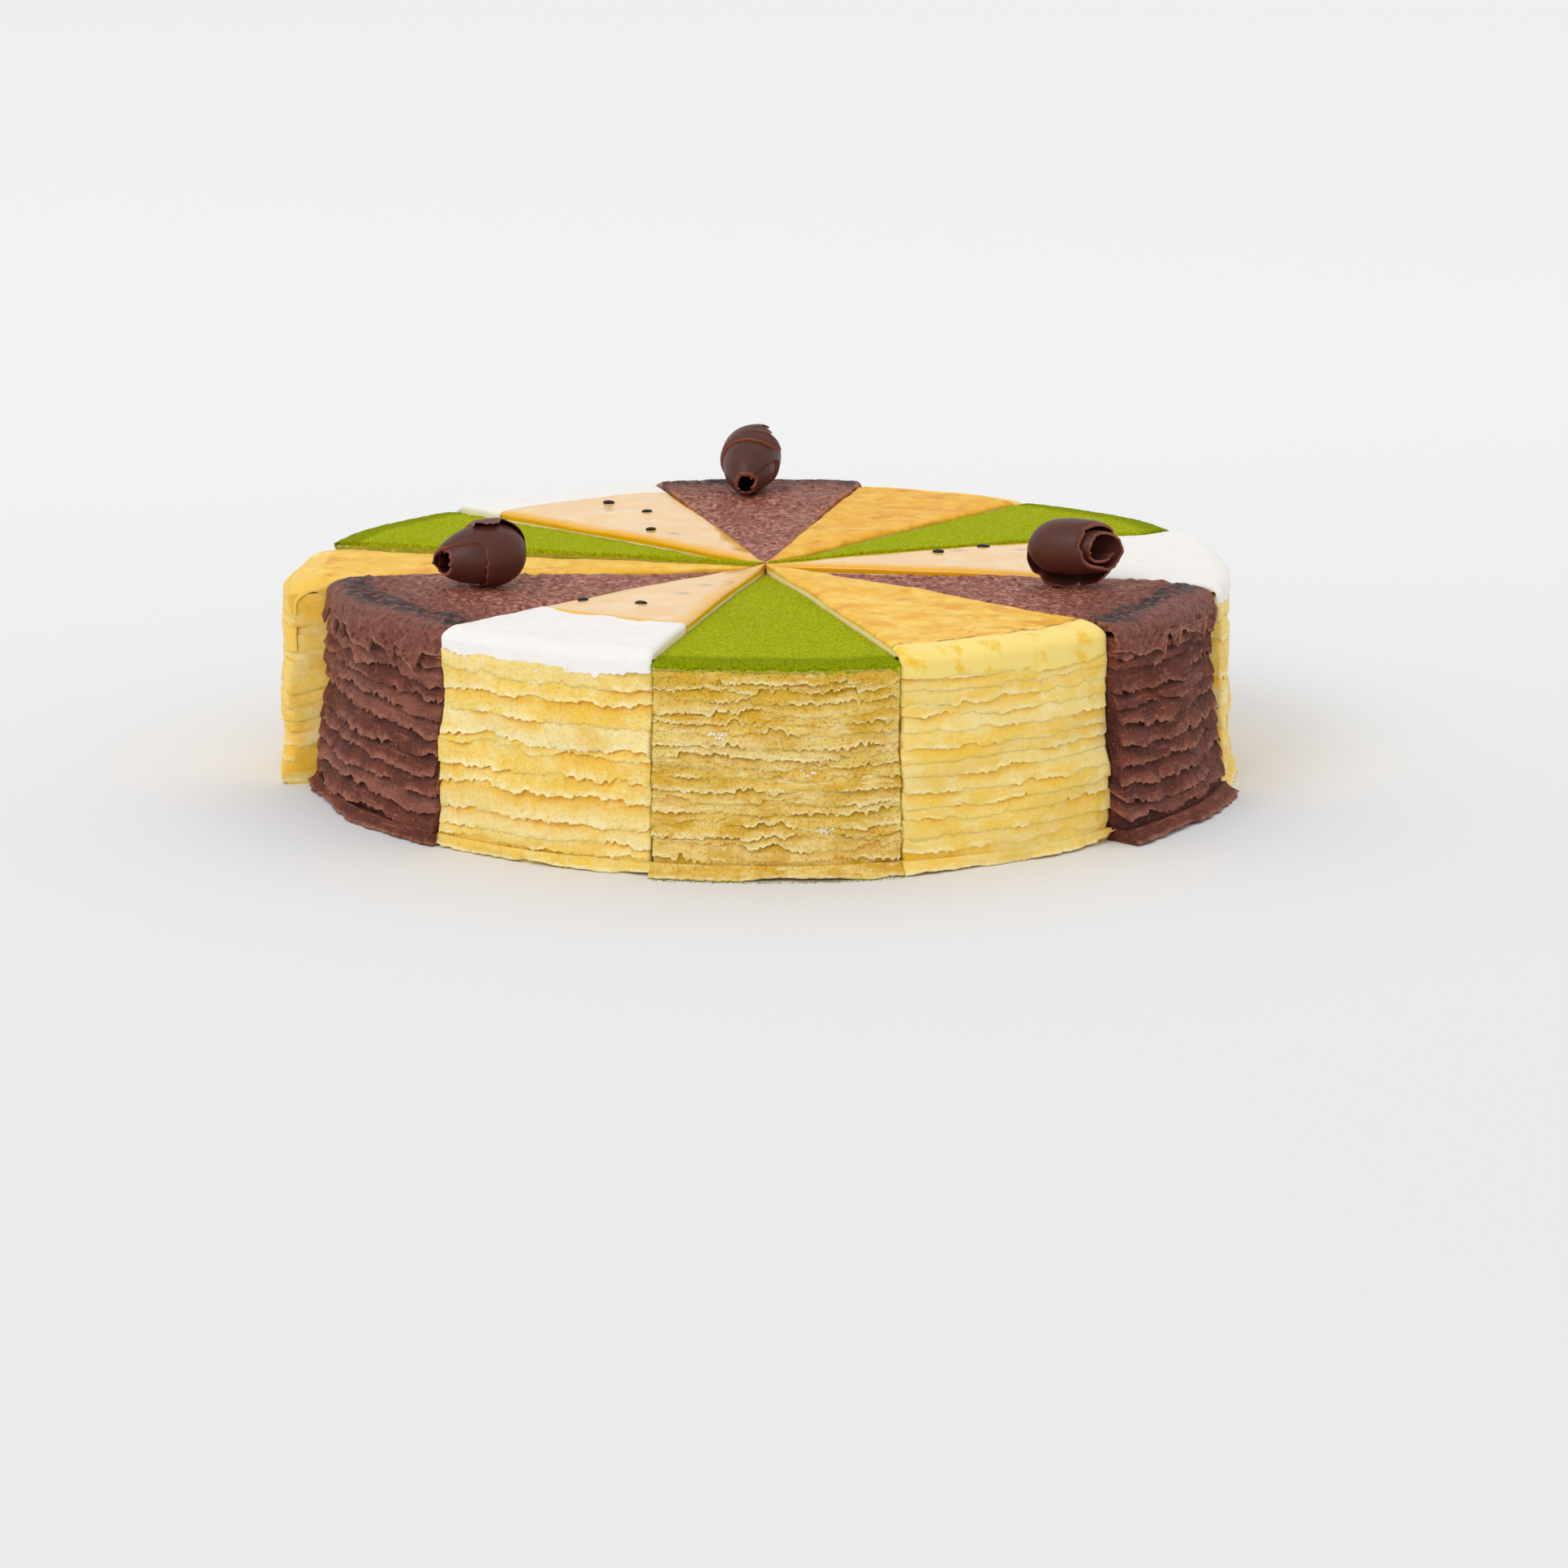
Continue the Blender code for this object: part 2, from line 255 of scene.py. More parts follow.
@dataclass(frozen=True)
class Wedge:
    """Where one slice stands, read from its solids.

    Attributes:
        name: The slice's flavour and number.
        seed: Chooses its unevenness.
        tip: The slice's tip, seen from above.
        heading: The direction that it points in.
        half: Half the angle between its two cuts.
        sides: Distance from the tip to the outer side, by level and by bearing.
        levels: The heights of those levels.
        foot: Distance from the tip to the edge of the bottom crepe, by bearing.
        top: Height of the top surface.
    """

    name: str
    seed: int
    tip: tuple[float, float]
    heading: float
    half: float
    sides: Grid
    levels: Grid
    foot: Grid
    top: float

    @classmethod
    def read(cls, name: str, seed: int) -> "Wedge":
        """Reads a slice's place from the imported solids.

        Args:
            name: The slice's flavour and number.
            seed: Chooses its unevenness.

        Returns:
            The slice's place.
        """
        base = vertices_of(f"{name}_base_crepe")
        tip = base[np.argmin(np.hypot(base[:, 0], base[:, 1])), :2]
        far = base[np.hypot(*(base[:, :2] - tip).T) > 0.05]
        middle = math.atan2(*(far[:, :2] - tip).mean(axis=0)[::-1])

        def polar(corners: Grid) -> tuple[Grid, Grid]:
            """Turns and distances of corners, from the slice's own middle line and tip."""
            away = corners[:, :2] - tip
            turns = np.arctan2(away[:, 1], away[:, 0]) - middle
            return (turns + math.pi) % math.tau - math.pi, np.hypot(away[:, 0], away[:, 1])

        turns, reaches = polar(far)
        low, high = turns.min(), turns.max()
        bearings = np.linspace(low, high, 9)
        foot = np.array([reaches[abs(turns - bearing) < 0.01].max() for bearing in bearings])
        stack = np.unique(vertices_of(f"{name}_crepe_stack").round(6), axis=0)
        turns, reaches = polar(stack)
        levels = np.linspace(0.002, 0.046, 12)
        sides = []
        for bearing in bearings:
            column = (abs(turns - bearing) < 0.01) & (reaches > 0.05)
            order = np.argsort(stack[column, 2], kind="stable")
            height, reach = stack[column, 2][order], reaches[column][order]
            lips = np.flatnonzero((reach[1:-1] > reach[:-2]) & (reach[1:-1] >= reach[2:])) + 1
            sides.append(np.interp(levels, height[lips], reach[lips]))
        tops = [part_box(node)[1].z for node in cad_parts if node.startswith(name) and "curl" not in node]
        heading, half = middle + (low + high) / 2, (high - low) / 2
        back = CUT_GAP / math.sin(half)
        tip = tip - back * np.array((math.cos(heading), math.sin(heading)))
        return cls(name, seed, tuple(tip), heading, half, np.array(sides).T + back, levels, foot + back, max(tops))

    def side(self, across: Grid, height: Grid) -> Grid:
        """Distance from the tip to the outer side.

        Args:
            across: Angle from the slice's middle line.
            height: Height in metres.

        Returns:
            Distances in metres.
        """
        across, height = np.broadcast_arrays(across, height)
        column = np.clip((across / self.half + 1) / 2, 0, 1) * (self.sides.shape[1] - 1)
        share = np.clip((height - self.levels[0]) / np.ptp(self.levels), 0, 1)
        level = share * (len(self.levels) - 1)
        left = np.minimum(column.astype(int), self.sides.shape[1] - 2)
        under = np.minimum(level.astype(int), len(self.levels) - 2)
        right, up = column - left, level - under
        low = self.sides[under, left] * (1 - right) + self.sides[under, left + 1] * right
        high = self.sides[under + 1, left] * (1 - right) + self.sides[under + 1, left + 1] * right
        return low * (1 - up) + high * up

    def foot_line(self, across: Grid) -> Grid:
        """Distance from the tip to the edge of the bottom crepe, in metres."""
        return np.interp(across, np.linspace(-self.half, self.half, len(self.foot)), self.foot)

    def place(self, reach: Grid, across: Grid, height: Grid) -> Grid:
        """Points from distance to the tip, angle from the middle line and height."""
        bearing = self.heading + across
        return points_of(self.tip[0] + reach * np.cos(bearing), self.tip[1] + reach * np.sin(bearing), height)


def close_wedge(wedge: Wedge, reach: Grid, across: Grid, height: Grid, masks: dict[str, Grid]) -> Skin:
    """Closes an outer wall, listed from the top down, with cut faces, a top and a bottom.

    Args:
        wedge: The slice.
        reach: Distance from the tip of each point, in metres.
        across: Angle of each point from the middle line.
        height: Height of each point, in metres.
        masks: Masks of the wall.

    Returns:
        The closed skin.
    """
    skin = Skin()
    wall = skin.add_points(wedge.place(reach, across, height), masks)
    steps = np.hypot(np.diff(reach, axis=0), np.diff(height, axis=0)).mean(axis=1)
    down = np.concatenate(([0.0], np.cumsum(steps)))[:, None]
    skin.add_quads(wall, points_of(across * reach.mean(), down + 0 * across))
    ends = wedge.place(np.full(2, 0.5 * MM), np.zeros(2), np.array([height[0].mean(), height[-1].mean()]))
    tips = skin.add_points(ends)
    for column, side in ((wall[:, 0], 0), (wall[:, -1], -1)):
        flat = points_of(np.append(reach[:, side], (0, 0)), np.append(height[:, side], (height[-1, side], height[0, side])))
        skin.add_cap(np.append(column, tips[::-1]), flat)
    for row, tip, level in ((wall[0], tips[0], 0), (wall[-1], tips[1], -1)):
        flat = points_of(reach[level] * np.cos(across[level]), reach[level] * np.sin(across[level]))
        skin.add_cap(np.append(row, tip), np.vstack((flat, (0.0, 0.0))), 0.05)
    return skin


@dataclass(frozen=True)
class StackStyle:
    """How the crepes of a flavour hang at the outer side. Lengths are in millimetres.

    Attributes:
        lips: Heights of the hanging lips, from the top down.
        stand: How far a lip stands out from where its crepe comes out.
        thick: Thickness at the lip.
        hang: How far a lip hangs over the crepe below it.
        wave: Slow rise and fall of the lips.
        teeth: Depth of the ragged edge.
        tooth: Width of its teeth.
        tear: Height of the places torn out of a lip.
        flare: How far a lip curls outwards in places.
        fibre: Depth of the upright wrinkles.
        pleat: Depth of the upright folds at the lips.
        dent: Depth of the broad dents.
        corner: Rounding at the two cuts.
        merge: How much the weaker lips fade into the side in places.
        bias: How much of a weak lip is left, about.
        strong: Numbers of the lips that never fade.
        face: Places of the points down a crepe, from the lip above it to its own.
        step: Distance between points along a lip.
    """

    lips: tuple[float, ...]
    stand: float
    thick: float
    hang: float
    wave: float
    teeth: float
    tooth: float
    tear: float
    flare: float
    fibre: float
    pleat: float
    dent: float
    corner: float
    merge: float = 0.5
    bias: float = 0.5
    strong: tuple[int, ...] = ()
    face: tuple[float, ...] = (0.0, 0.12, 0.35, 0.62, 0.85, 1.0)
    step: float = 0.38


@dataclass
class CrepeStack:
    """The crepes between the bottom crepe and the cover of one slice.

    Attributes:
        wedge: The slice.
        style: How its crepes hang.
        under: Depth of the stack's top below the top of the slice, in millimetres.
        tilt: Rise of the top from the slice's middle line to its left-hand cut, in millimetres.
        cover: How far the lid comes down over the side, in millimetres.
        tuck: How far the side stands back behind the lid, in millimetres.
        slack: How far above the lid's edge it begins to stand back, in millimetres.
    """

    wedge: Wedge
    style: StackStyle
    under: float = 3.6
    tilt: float = 0.0
    cover: float = 4.0
    tuck: float = 0.8
    slack: float = 0.7

    def lip_lines(self, arc: Grid, seed: int) -> tuple[Grid, Grid, Grid]:
        """Lays out the ragged lips.

        Args:
            arc: Distance along the rim, in millimetres.
            seed: Chooses the unevenness.

        Returns:
            The ragged lines and the smooth lines that they follow, as heights, and how much each stands out.
        """
        style, count = self.style, len(self.style.lips)
        shift = np.random.default_rng(seed).uniform(-0.5, 0.5, count)
        level = np.array(style.lips) + shift
        line = points_of(arc[None, :], 7.0 * np.arange(count)[:, None], 5.0 * seed)
        slow = points_of(arc, 0.0, 5.0 * seed)
        smooth = level[:, None] + 1.6 * style.wave * noise(line, (13.0, 1.0, 1.0), seed, 3)
        smooth += 2.0 * style.wave * noise(slow, (30.0, 1.0, 1.0), seed + 9, 2)
        stands = np.clip(style.bias + 2.6 * noise(line, (11.0, 1.0, 1.0), seed + 8, 2), 0, 1)
        stands = 1 - style.merge * (1 - stands)
        stands[list(style.strong)] = 1.0
        ragged = smooth + style.teeth * (0.45 - 2.2 * abs(noise(line, (style.tooth, 1.0, 1.0), seed + 1)))
        coarse = np.clip(0.6 + 2 * noise(line, (7.0, 1.0, 1.0), seed + 15, 2), 0.2, 1.4)
        ragged += coarse * style.teeth * noise(line, (0.8, 1.0, 1.0), seed + 2, 2)
        torn = np.clip((noise(line, (7.0, 1.0, 1.0), seed + 3, 4) - 0.14) / 0.08, 0, 1)
        ragged += style.tear * torn * (0.8 + noise(line, (3.0, 1.0, 1.0), seed + 4, 3))
        ragged[-1] = np.maximum(ragged[-1], 2.3)
        for lip in range(count - 2, -1, -1):
            least = 0.3 * (level[lip] - level[lip + 1])
            ragged[lip] = np.maximum(ragged[lip], ragged[lip + 1] + least)
        return ragged, smooth, stands

    def build(self) -> bpy.types.Object:
        """Builds the stack as one closed mesh.

        Returns:
            The object, with masks for the lips and for each crepe's tone.
        """
        wedge, style = self.wedge, self.style
        seed = 40 + 9 * wedge.seed
        half_arc = wedge.half * wedge.sides.mean() / MM
        columns = int(2 * half_arc / style.step)
        share = np.linspace(-1.0, 1.0, columns)
        arc = share * half_arc
        ragged, smooth, stands = self.lip_lines(arc, seed)
        random = np.random.default_rng(seed + 5)
        top = wedge.top / MM - self.under
        face = np.array(style.face)[:, None]
        heights, shifts, lips, under_lip_shades, tones, insets = [], [], [], [], [], []
        start = top + self.tilt * share
        before = 0.1 + 0 * arc
        for lip, edge in enumerate(ragged):
            line = points_of(arc, 11.0 * lip, 3.0 * seed)
            thick = style.thick * (0.3 + 0.7 * stands[lip])
            deep = style.stand * (1 + 0.5 * noise(line, (12.0, 1.0, 1.0), seed + 6, 2)) * before
            out = style.flare * np.clip(2.4 * noise(line, (8.0, 1.0, 1.0), seed + 7, 2) + 0.2, 0, 1.3) * stands[lip]
            height = start + (edge - start) * face
            shift = -deep * (1 - face) ** 1.8 + out * face**3
            after = np.maximum(smooth[lip] + style.hang * stands[lip], edge + 0.12)
            heights += [*height, edge - 0.04, edge + 0.06, edge + 0.5 * (after - edge)]
            shifts += [*shift, shift[-1] - 0.4 * thick, shift[-1] - thick]
            shifts += [np.minimum(shift[-1] - thick - 0.1, -0.7 * style.stand * stands[lip])]
            lips += [*(face * stands[lip]), 1.0 * stands[lip], 0.9 * stands[lip], 0 * arc]
            # The root mask is highest just under a standing lip, where the finish paints shade.
            under_lip_shades += [*((1 - face) ** 1.4 * before), 0 * arc, 0.3 * stands[lip], stands[lip]]
            tones += [random.uniform(-1, 1)] * (len(face) + 3)
            insets += [random.uniform(-0.25, 0.1)] * (len(face) + 3)
            start, before = after, stands[lip]
        heights.append(np.full(columns, 2.0))
        shifts.append(np.full(columns, -1.2 * style.stand))
        lips.append(0 * arc)
        under_lip_shades.append(before)
        tones.append(0.0)
        insets.append(0.3)
        height, shift, lip = np.array(heights), np.array(shifts), np.array(lips)
        tone, inset = (np.array(values)[:, None] + 0 * height for values in (tones, insets))
        places = points_of(arc[None, :] + 0 * height, 1.0 * seed, height)
        grown = 0.3 + 0.7 * lip
        shift = shift + style.dent * 2 * noise(places, (15.0, 1.0, 9.0), seed + 10, 2)
        shift += style.fibre * grown * 2 * noise(places, (1.3, 1.0, 6.0), seed + 11, 2)
        shift += style.fibre * 2 * noise(places, (2.0, 1.0, 1.3), seed + 12, 3)
        folds = points_of(arc[None, :] + 0.35 * height, 3.0 * tone, 0 * height)
        shift += style.pleat * lip**2 * 2 * noise(folds, (4.2, 1.0, 1.0), seed + 14, 2)
        near = half_arc - abs(arc)
        bend = np.clip(1 - near / style.corner, 0, 1)
        shift -= style.corner * (1 - np.sqrt(1 - bend**2)) * (0.8 + 0.6 * tone)
        edge = wedge.top / MM + self.tilt * share - self.cover + self.slack
        shift -= self.tuck * np.clip((height - edge) / 0.6, 0, 1)
        inset = inset + 0.18 * (1 + noise(places, (1.0, 1.0, 1.1), seed + 13, 2))
        across = share * wedge.half * (1 - inset / half_arc * abs(share) ** 20)
        reach = wedge.side(share * wedge.half, height * MM) + shift * MM
        masks = {"lip": lip, "root": np.array(under_lip_shades), "tone": tone}
        masks["along"] = (arc + half_arc)[None, :] / (2 * half_arc) + 0 * height
        skin = close_wedge(wedge, reach, across, height * MM, masks)
        return skin.make(f"{wedge.name}_crepes")

    def dress(self, piece: bpy.types.Object, slot: Slot, finish: bpy.types.Material) -> None:
        """Gives the stack its finish."""
        settle(piece, slot, finish, f"{self.wedge.name}_crepe_stack")


@dataclass
class BottomCrepe:
    """The crepe that a slice lies on: its edge spreads past the side and lifts in places.

    Attributes:
        wedge: The slice.
        lift: How far the edge lifts, in millimetres.
        teeth: Depth of its ragged edge, in millimetres.
        corner_lift: Extra lift at the right-hand corner, seen from outside.
    """

    wedge: Wedge
    lift: float = 0.5
    teeth: float = 0.5
    corner_lift: float = 0.0

    def build(self) -> bpy.types.Object:
        """Builds the crepe as one closed mesh."""
        wedge = self.wedge
        seed = 300 + 7 * wedge.seed
        half_arc = wedge.half * wedge.foot.mean() / MM
        share = np.linspace(-1, 1, int(2 * half_arc / 0.4))
        arc = share * half_arc
        line = points_of(arc, 0.0, 5.0 * seed)
        across = share * wedge.half
        side = wedge.side(across, np.full_like(across, 0.003)) / MM
        edge = wedge.foot_line(across) / MM - 0.3
        edge += 1.3 * self.teeth * (0.25 - 2 * abs(noise(line, (3.2, 1.0, 1.0), seed)))
        edge += 0.8 * noise(line, (14.0, 1.0, 1.0), seed + 1, 2)
        lift = self.lift * np.clip(0.4 + 2.4 * noise(line, (13.0, 1.0, 1.0), seed + 2, 2), 0, 1.6)
        lift += self.corner_lift * np.clip((share - 0.72) / 0.28, 0, 1) ** 1.5
        rows = [(side - 3.0, 3.1 + 0 * lift), (side - 0.2, 3.3 + 0 * lift)]
        for part in (0.2, 0.4, 0.6, 0.8, 0.93, 1.0):
            rows.append((side + (edge - side) * part**1.6, 3.1 - 2.6 * part + lift * part**2))
        rows += [(edge - 0.05, 0.22 + lift), (edge - 0.4, 0.05 + lift), (edge - 1.2, 0.9 * lift)]
        rows += [(side - 1.5, 0 * lift), (side - 3.0, 0 * lift)]
        reach = np.array([row[0] for row in rows])
        height = np.array([row[1] for row in rows])
        places = points_of(arc[None, :] + 0 * height, 1.0 * seed, height)
        reach += 0.12 * noise(places, (1.2, 1.0, 3.0), seed + 4, 2)
        lip = np.array([0.1, 0.3, 0.5, 0.5, 0.6, 0.75, 0.95, 1, 1, 0.6, 0.3, 0, 0])[:, None] + 0 * height
        grid = across[None, :] + 0 * height
        masks = {"lip": lip, "tone": 0 * height, "along": (share[None, :] + 1) / 2 + 0 * height}
        skin = close_wedge(wedge, reach * MM, grid, height * MM, masks)
        return skin.make(f"{wedge.name}_bottom_crepe")

    def dress(self, piece: bpy.types.Object, slot: Slot, finish: bpy.types.Material) -> None:
        """Gives the bottom crepe its finish."""
        settle(piece, slot, finish, f"{self.wedge.name}_base_crepe")


def shade_seeds(piece: bpy.types.Object) -> None:
    """Marks the jelly over each seed that lies under its surface."""
    count = len(piece.data.vertices)
    corners = np.empty(count * 3, np.float32)
    piece.data.vertices.foreach_get("co", corners)
    corners = corners.reshape(-1, 3) / MM
    shade = np.zeros(count, np.float32)
    for reach, bearing in SUNK_SEEDS:
        turn = math.radians(bearing)
        away = corners[:, :2] - (reach * math.cos(turn), reach * math.sin(turn))
        shade += np.exp(-((away[:, 0] / 1.7) ** 2) - (away[:, 1] / 1.1) ** 2).astype(np.float32)
    piece.data.attributes.new("sunk", "FLOAT", "POINT").data.foreach_set("value", shade)


Relief = Callable[[Grid, Grid, Grid], Grid]


@dataclass
class Lid:
    """What covers a slice, or a part of it: a thick skin over the top that rounds its edges.

    Attributes:
        wedge: The slice.
        part: Name of the piece.
        start: Where it begins, as a distance from the tip.
        end: Where it ends, or None for the outer side.
        rim: Width of the rounding at its outer end.
        rim_drop: How far down that rounding goes.
        hang: How far it comes down the side.
        teeth: Depth of its ragged edge.
        tooth: Width of the teeth.
        wave: Slow rise and fall of its edge.
        tear: Depth of the pointed tears.
        flare: How far the edge stands out.
        wall: Thickness at the edge.
        cut_round: Rounding at the two cuts.
        cut_drop: How far down that rounding goes.
        skirt: How far the skin goes down the cuts.
        sink: How far the top sinks at the tip.
        sink_reach: Where it begins to sink, as a distance from the tip.
        tilt: Rise of the top from the middle line to the left-hand cut.
        proud: How far it stands out from the side.
        relief: Gives the unevenness from points, distance to the rim and distance to a cut.
        columns: Points across.
        rows: Points from start to end.
    """

    wedge: Wedge
    part: str
    start: float = 0.7
    end: float | None = None
    rim: float = 6.0
    rim_drop: float = 3.0
    hang: float = 4.0
    teeth: float = 0.5
    tooth: float = 3.0
    wave: float = 0.4
    tear: float = 0.0
    flare: float = 0.0
    wall: float = 1.0
    cut_round: float = 1.0
    cut_drop: float = 0.6
    skirt: float = 4.2
    sink: float = 1.0
    sink_reach: float = 42.0
    tilt: float = 0.0
    proud: float = 0.5
    inner_round: float = 0.0
    relief: Relief = field(default=lambda points, rim, cut: 0 * rim)
    columns: int = 84
    rows: int = 84

    def profile(self) -> tuple[Grid, Grid, Grid, Grid]:
        """Lays out the rows, from the start over the rim to behind the hanging edge.

        Returns:
            Share of the way to the rim, turn of the surface, share of the hang, and depth behind the edge.
        """
        outwards = 1 - (1 - np.linspace(0, 1, self.rows)) ** 1.25
        rows = [(share, 0.0, 0.0, 0.0) for share in outwards]
        if self.inner_round:
            turns = np.linspace(-math.pi / 2, 0, 6)[:-1]
            rows = [(0.0, turn, 0.0, 0.0) for turn in turns] + rows
        rows += [(1.0, turn, 0.0, 0.0) for turn in np.linspace(0, math.pi / 2, 12)[1:]]
        rows += [(1.0, math.pi / 2, share, 0.0) for share in np.linspace(0, 1, 11)[1:]]
        rows += [(1.0, math.pi / 2, 1.0, depth) for depth in (0.4, 1.0, 2.4)]
        return tuple(np.array(rows).T[:, :, None])

    def stations(self) -> tuple[Grid, Grid, Grid, Grid]:
        """Lays out the columns, from the foot of one cut over the top to the foot of the other.

        Returns:
            Place across, share of the rounding still ahead, share of its drop, and share of the skirt.
        """
        turns = np.linspace(0, math.pi / 2, 6)[1:]
        right = [(1.0, 1 - math.sin(turn), 1 - math.cos(turn), 0.0) for turn in turns]
        right += [(1.0, 0.0, 1.0, share) for share in np.linspace(0, 1, 6)[1:]]
        left = [(-place, ahead, drop, down) for place, ahead, drop, down in reversed(right)]
        middle = [(place, 1.0, 0.0, 0.0) for place in np.linspace(-1, 1, self.columns)]
        return tuple(np.array(left + middle + right).T[:, None, :])

    def edge_drop(self, arc: Grid, seed: int) -> Grid:
        """How far the ragged edge comes down, by distance along the rim."""
        line = points_of(arc, 0.0, 3.0 * seed)
        drop = self.hang + 2 * self.wave * noise(line, (16.0, 1.0, 1.0), seed, 2)
        drop += self.teeth * (2.2 * abs(noise(line, (self.tooth, 1.0, 1.0), seed + 1)) - 0.45)
        if self.tear:
            warped = arc + 5.0 * noise(line, (11.0, 1.0, 1.0), seed + 6, 1)
            saw = (warped / 14.0 + 0.37 * seed) % 1.0
            drop += self.tear * (np.where(saw < 0.8, saw / 0.8, (1 - saw) / 0.2) ** 1.5 - 0.4)
        return np.maximum(drop, self.rim_drop + 0.3)

    def build(self) -> bpy.types.Object:
        """Builds the lid as one closed mesh.

        Returns:
            The object, with masks for distance to the rim, depth at the cuts and closeness to the edge.
        """
        wedge, seed = self.wedge, 500 + 11 * self.wedge.seed + len(self.part)
        outwards, turn, hung, behind = self.profile()
        place, ahead, dropped, down = self.stations()
        top = wedge.top / MM
        bearing = np.clip(place, -1, 1) * wedge.half + 0 * outwards
        high = (top - 6.0) * MM
        end = self.end or wedge.side(bearing, np.full_like(bearing, high)) / MM + self.proud
        arc = bearing * 112.0
        low = self.start + self.inner_round
        reach = low + (end - self.rim - low) * outwards
        reach = reach + np.where(turn < 0, self.inner_round, self.rim) * np.sin(turn)
        drop = self.edge_drop(arc, seed)
        low_rim = np.where(turn < 0, self.inner_round, self.rim_drop)
        height = top - low_rim * (1 - np.cos(turn)) - hung * (drop - self.rim_drop)
        reach = reach - behind * self.wall
        height = height + np.where(behind > 0.5, 0.5 * behind * self.wall, -0.05 * (behind > 0))
        height = height - self.sink * np.clip(1 - reach / self.sink_reach, 0, 1) ** 1.3 + self.tilt * np.clip(place, -1, 1)
        room = 0.45 * np.maximum(reach, 0.3) * wedge.half
        bend = np.minimum(self.cut_round, room)
        fall = self.cut_drop * bend / self.cut_round
        steep = abs(np.sin(turn))
        skirt = self.skirt * (1 - steep) + min(self.skirt, 1.6 * self.wall) * steep
        inwards = fall * dropped + np.maximum(skirt - fall, 0.1) * down
        across = place * (wedge.half - bend * ahead / np.maximum(reach, 0.3))
        rim_distance = end - self.rim - reach - hung * (drop - self.rim_drop) - 2 * behind
        cut_distance = (wedge.half - abs(across)) * reach
        points = points_of(reach * np.cos(across), reach * np.sin(across), height) + (0, 0, 37.0 * wedge.seed)
        free = np.clip(1 - down * 3, 0, 1) * np.clip(1 - behind * 3, 0, 1)
        raised = self.relief(points, rim_distance, cut_distance) * free
        raised = raised * np.clip(reach / 6.0, 0.2, 1)
        raised = raised + self.flare * hung**2 * np.clip(0.6 + 2 * noise(points_of(arc, 0.0, 9.0 * seed), (7.0, 1.0, 1.0), seed + 4, 2), 0, 1.6)
        reach = reach + (raised - inwards) * np.sin(turn)
        height = height + (raised - inwards) * np.cos(turn)
        across = across - np.sign(place) * (down > 0) * 0.12 * (1 + noise(points, (1.2, 1.2, 0.9), seed + 5, 2)) / np.maximum(reach, 2.0)
        skin = Skin()
        masks = {
            "rim": rim_distance,
            "depth": inwards + 0 * reach,
            "cut": cut_distance,
            "lip": np.clip(1 - (1 - hung) * (drop - self.rim_drop) / 1.6, 0, 1) * (turn > 1.5),
        }
        numbers = skin.add_points(wedge.place(reach * MM, across, height * MM), masks)
        steps = np.hypot(np.diff(reach, axis=0), np.diff(height, axis=0)).mean(axis=1)
        path = np.concatenate(([0.0], np.cumsum(steps)))[:, None]
        flat = points_of((across * reach + np.sign(place) * inwards) * MM, (path + 0 * reach) * MM)
        skin.add_quads(numbers, flat)
        under = np.stack((numbers[:, -1], numbers[:, 0]), axis=1)
        skin.add_quads(under, points_of(np.array([[0.0, 2 * MM]]), path * MM * 0.1))
        for row, level in ((numbers[0], 0), (numbers[-1], -1)):
            skin.add_cap(row, points_of(across[level] * reach[level], reach[level] + height[level]) * MM, 0.1)
        return skin.make(f"{wedge.name}_{self.part}")

    def dress(self, piece: bpy.types.Object, slot: Slot, finish: bpy.types.Material, node: str) -> None:
        """Gives the lid its finish, and takes the place of the solid of that name."""
        settle(piece, slot, finish, f"{self.wedge.name}_{node}")


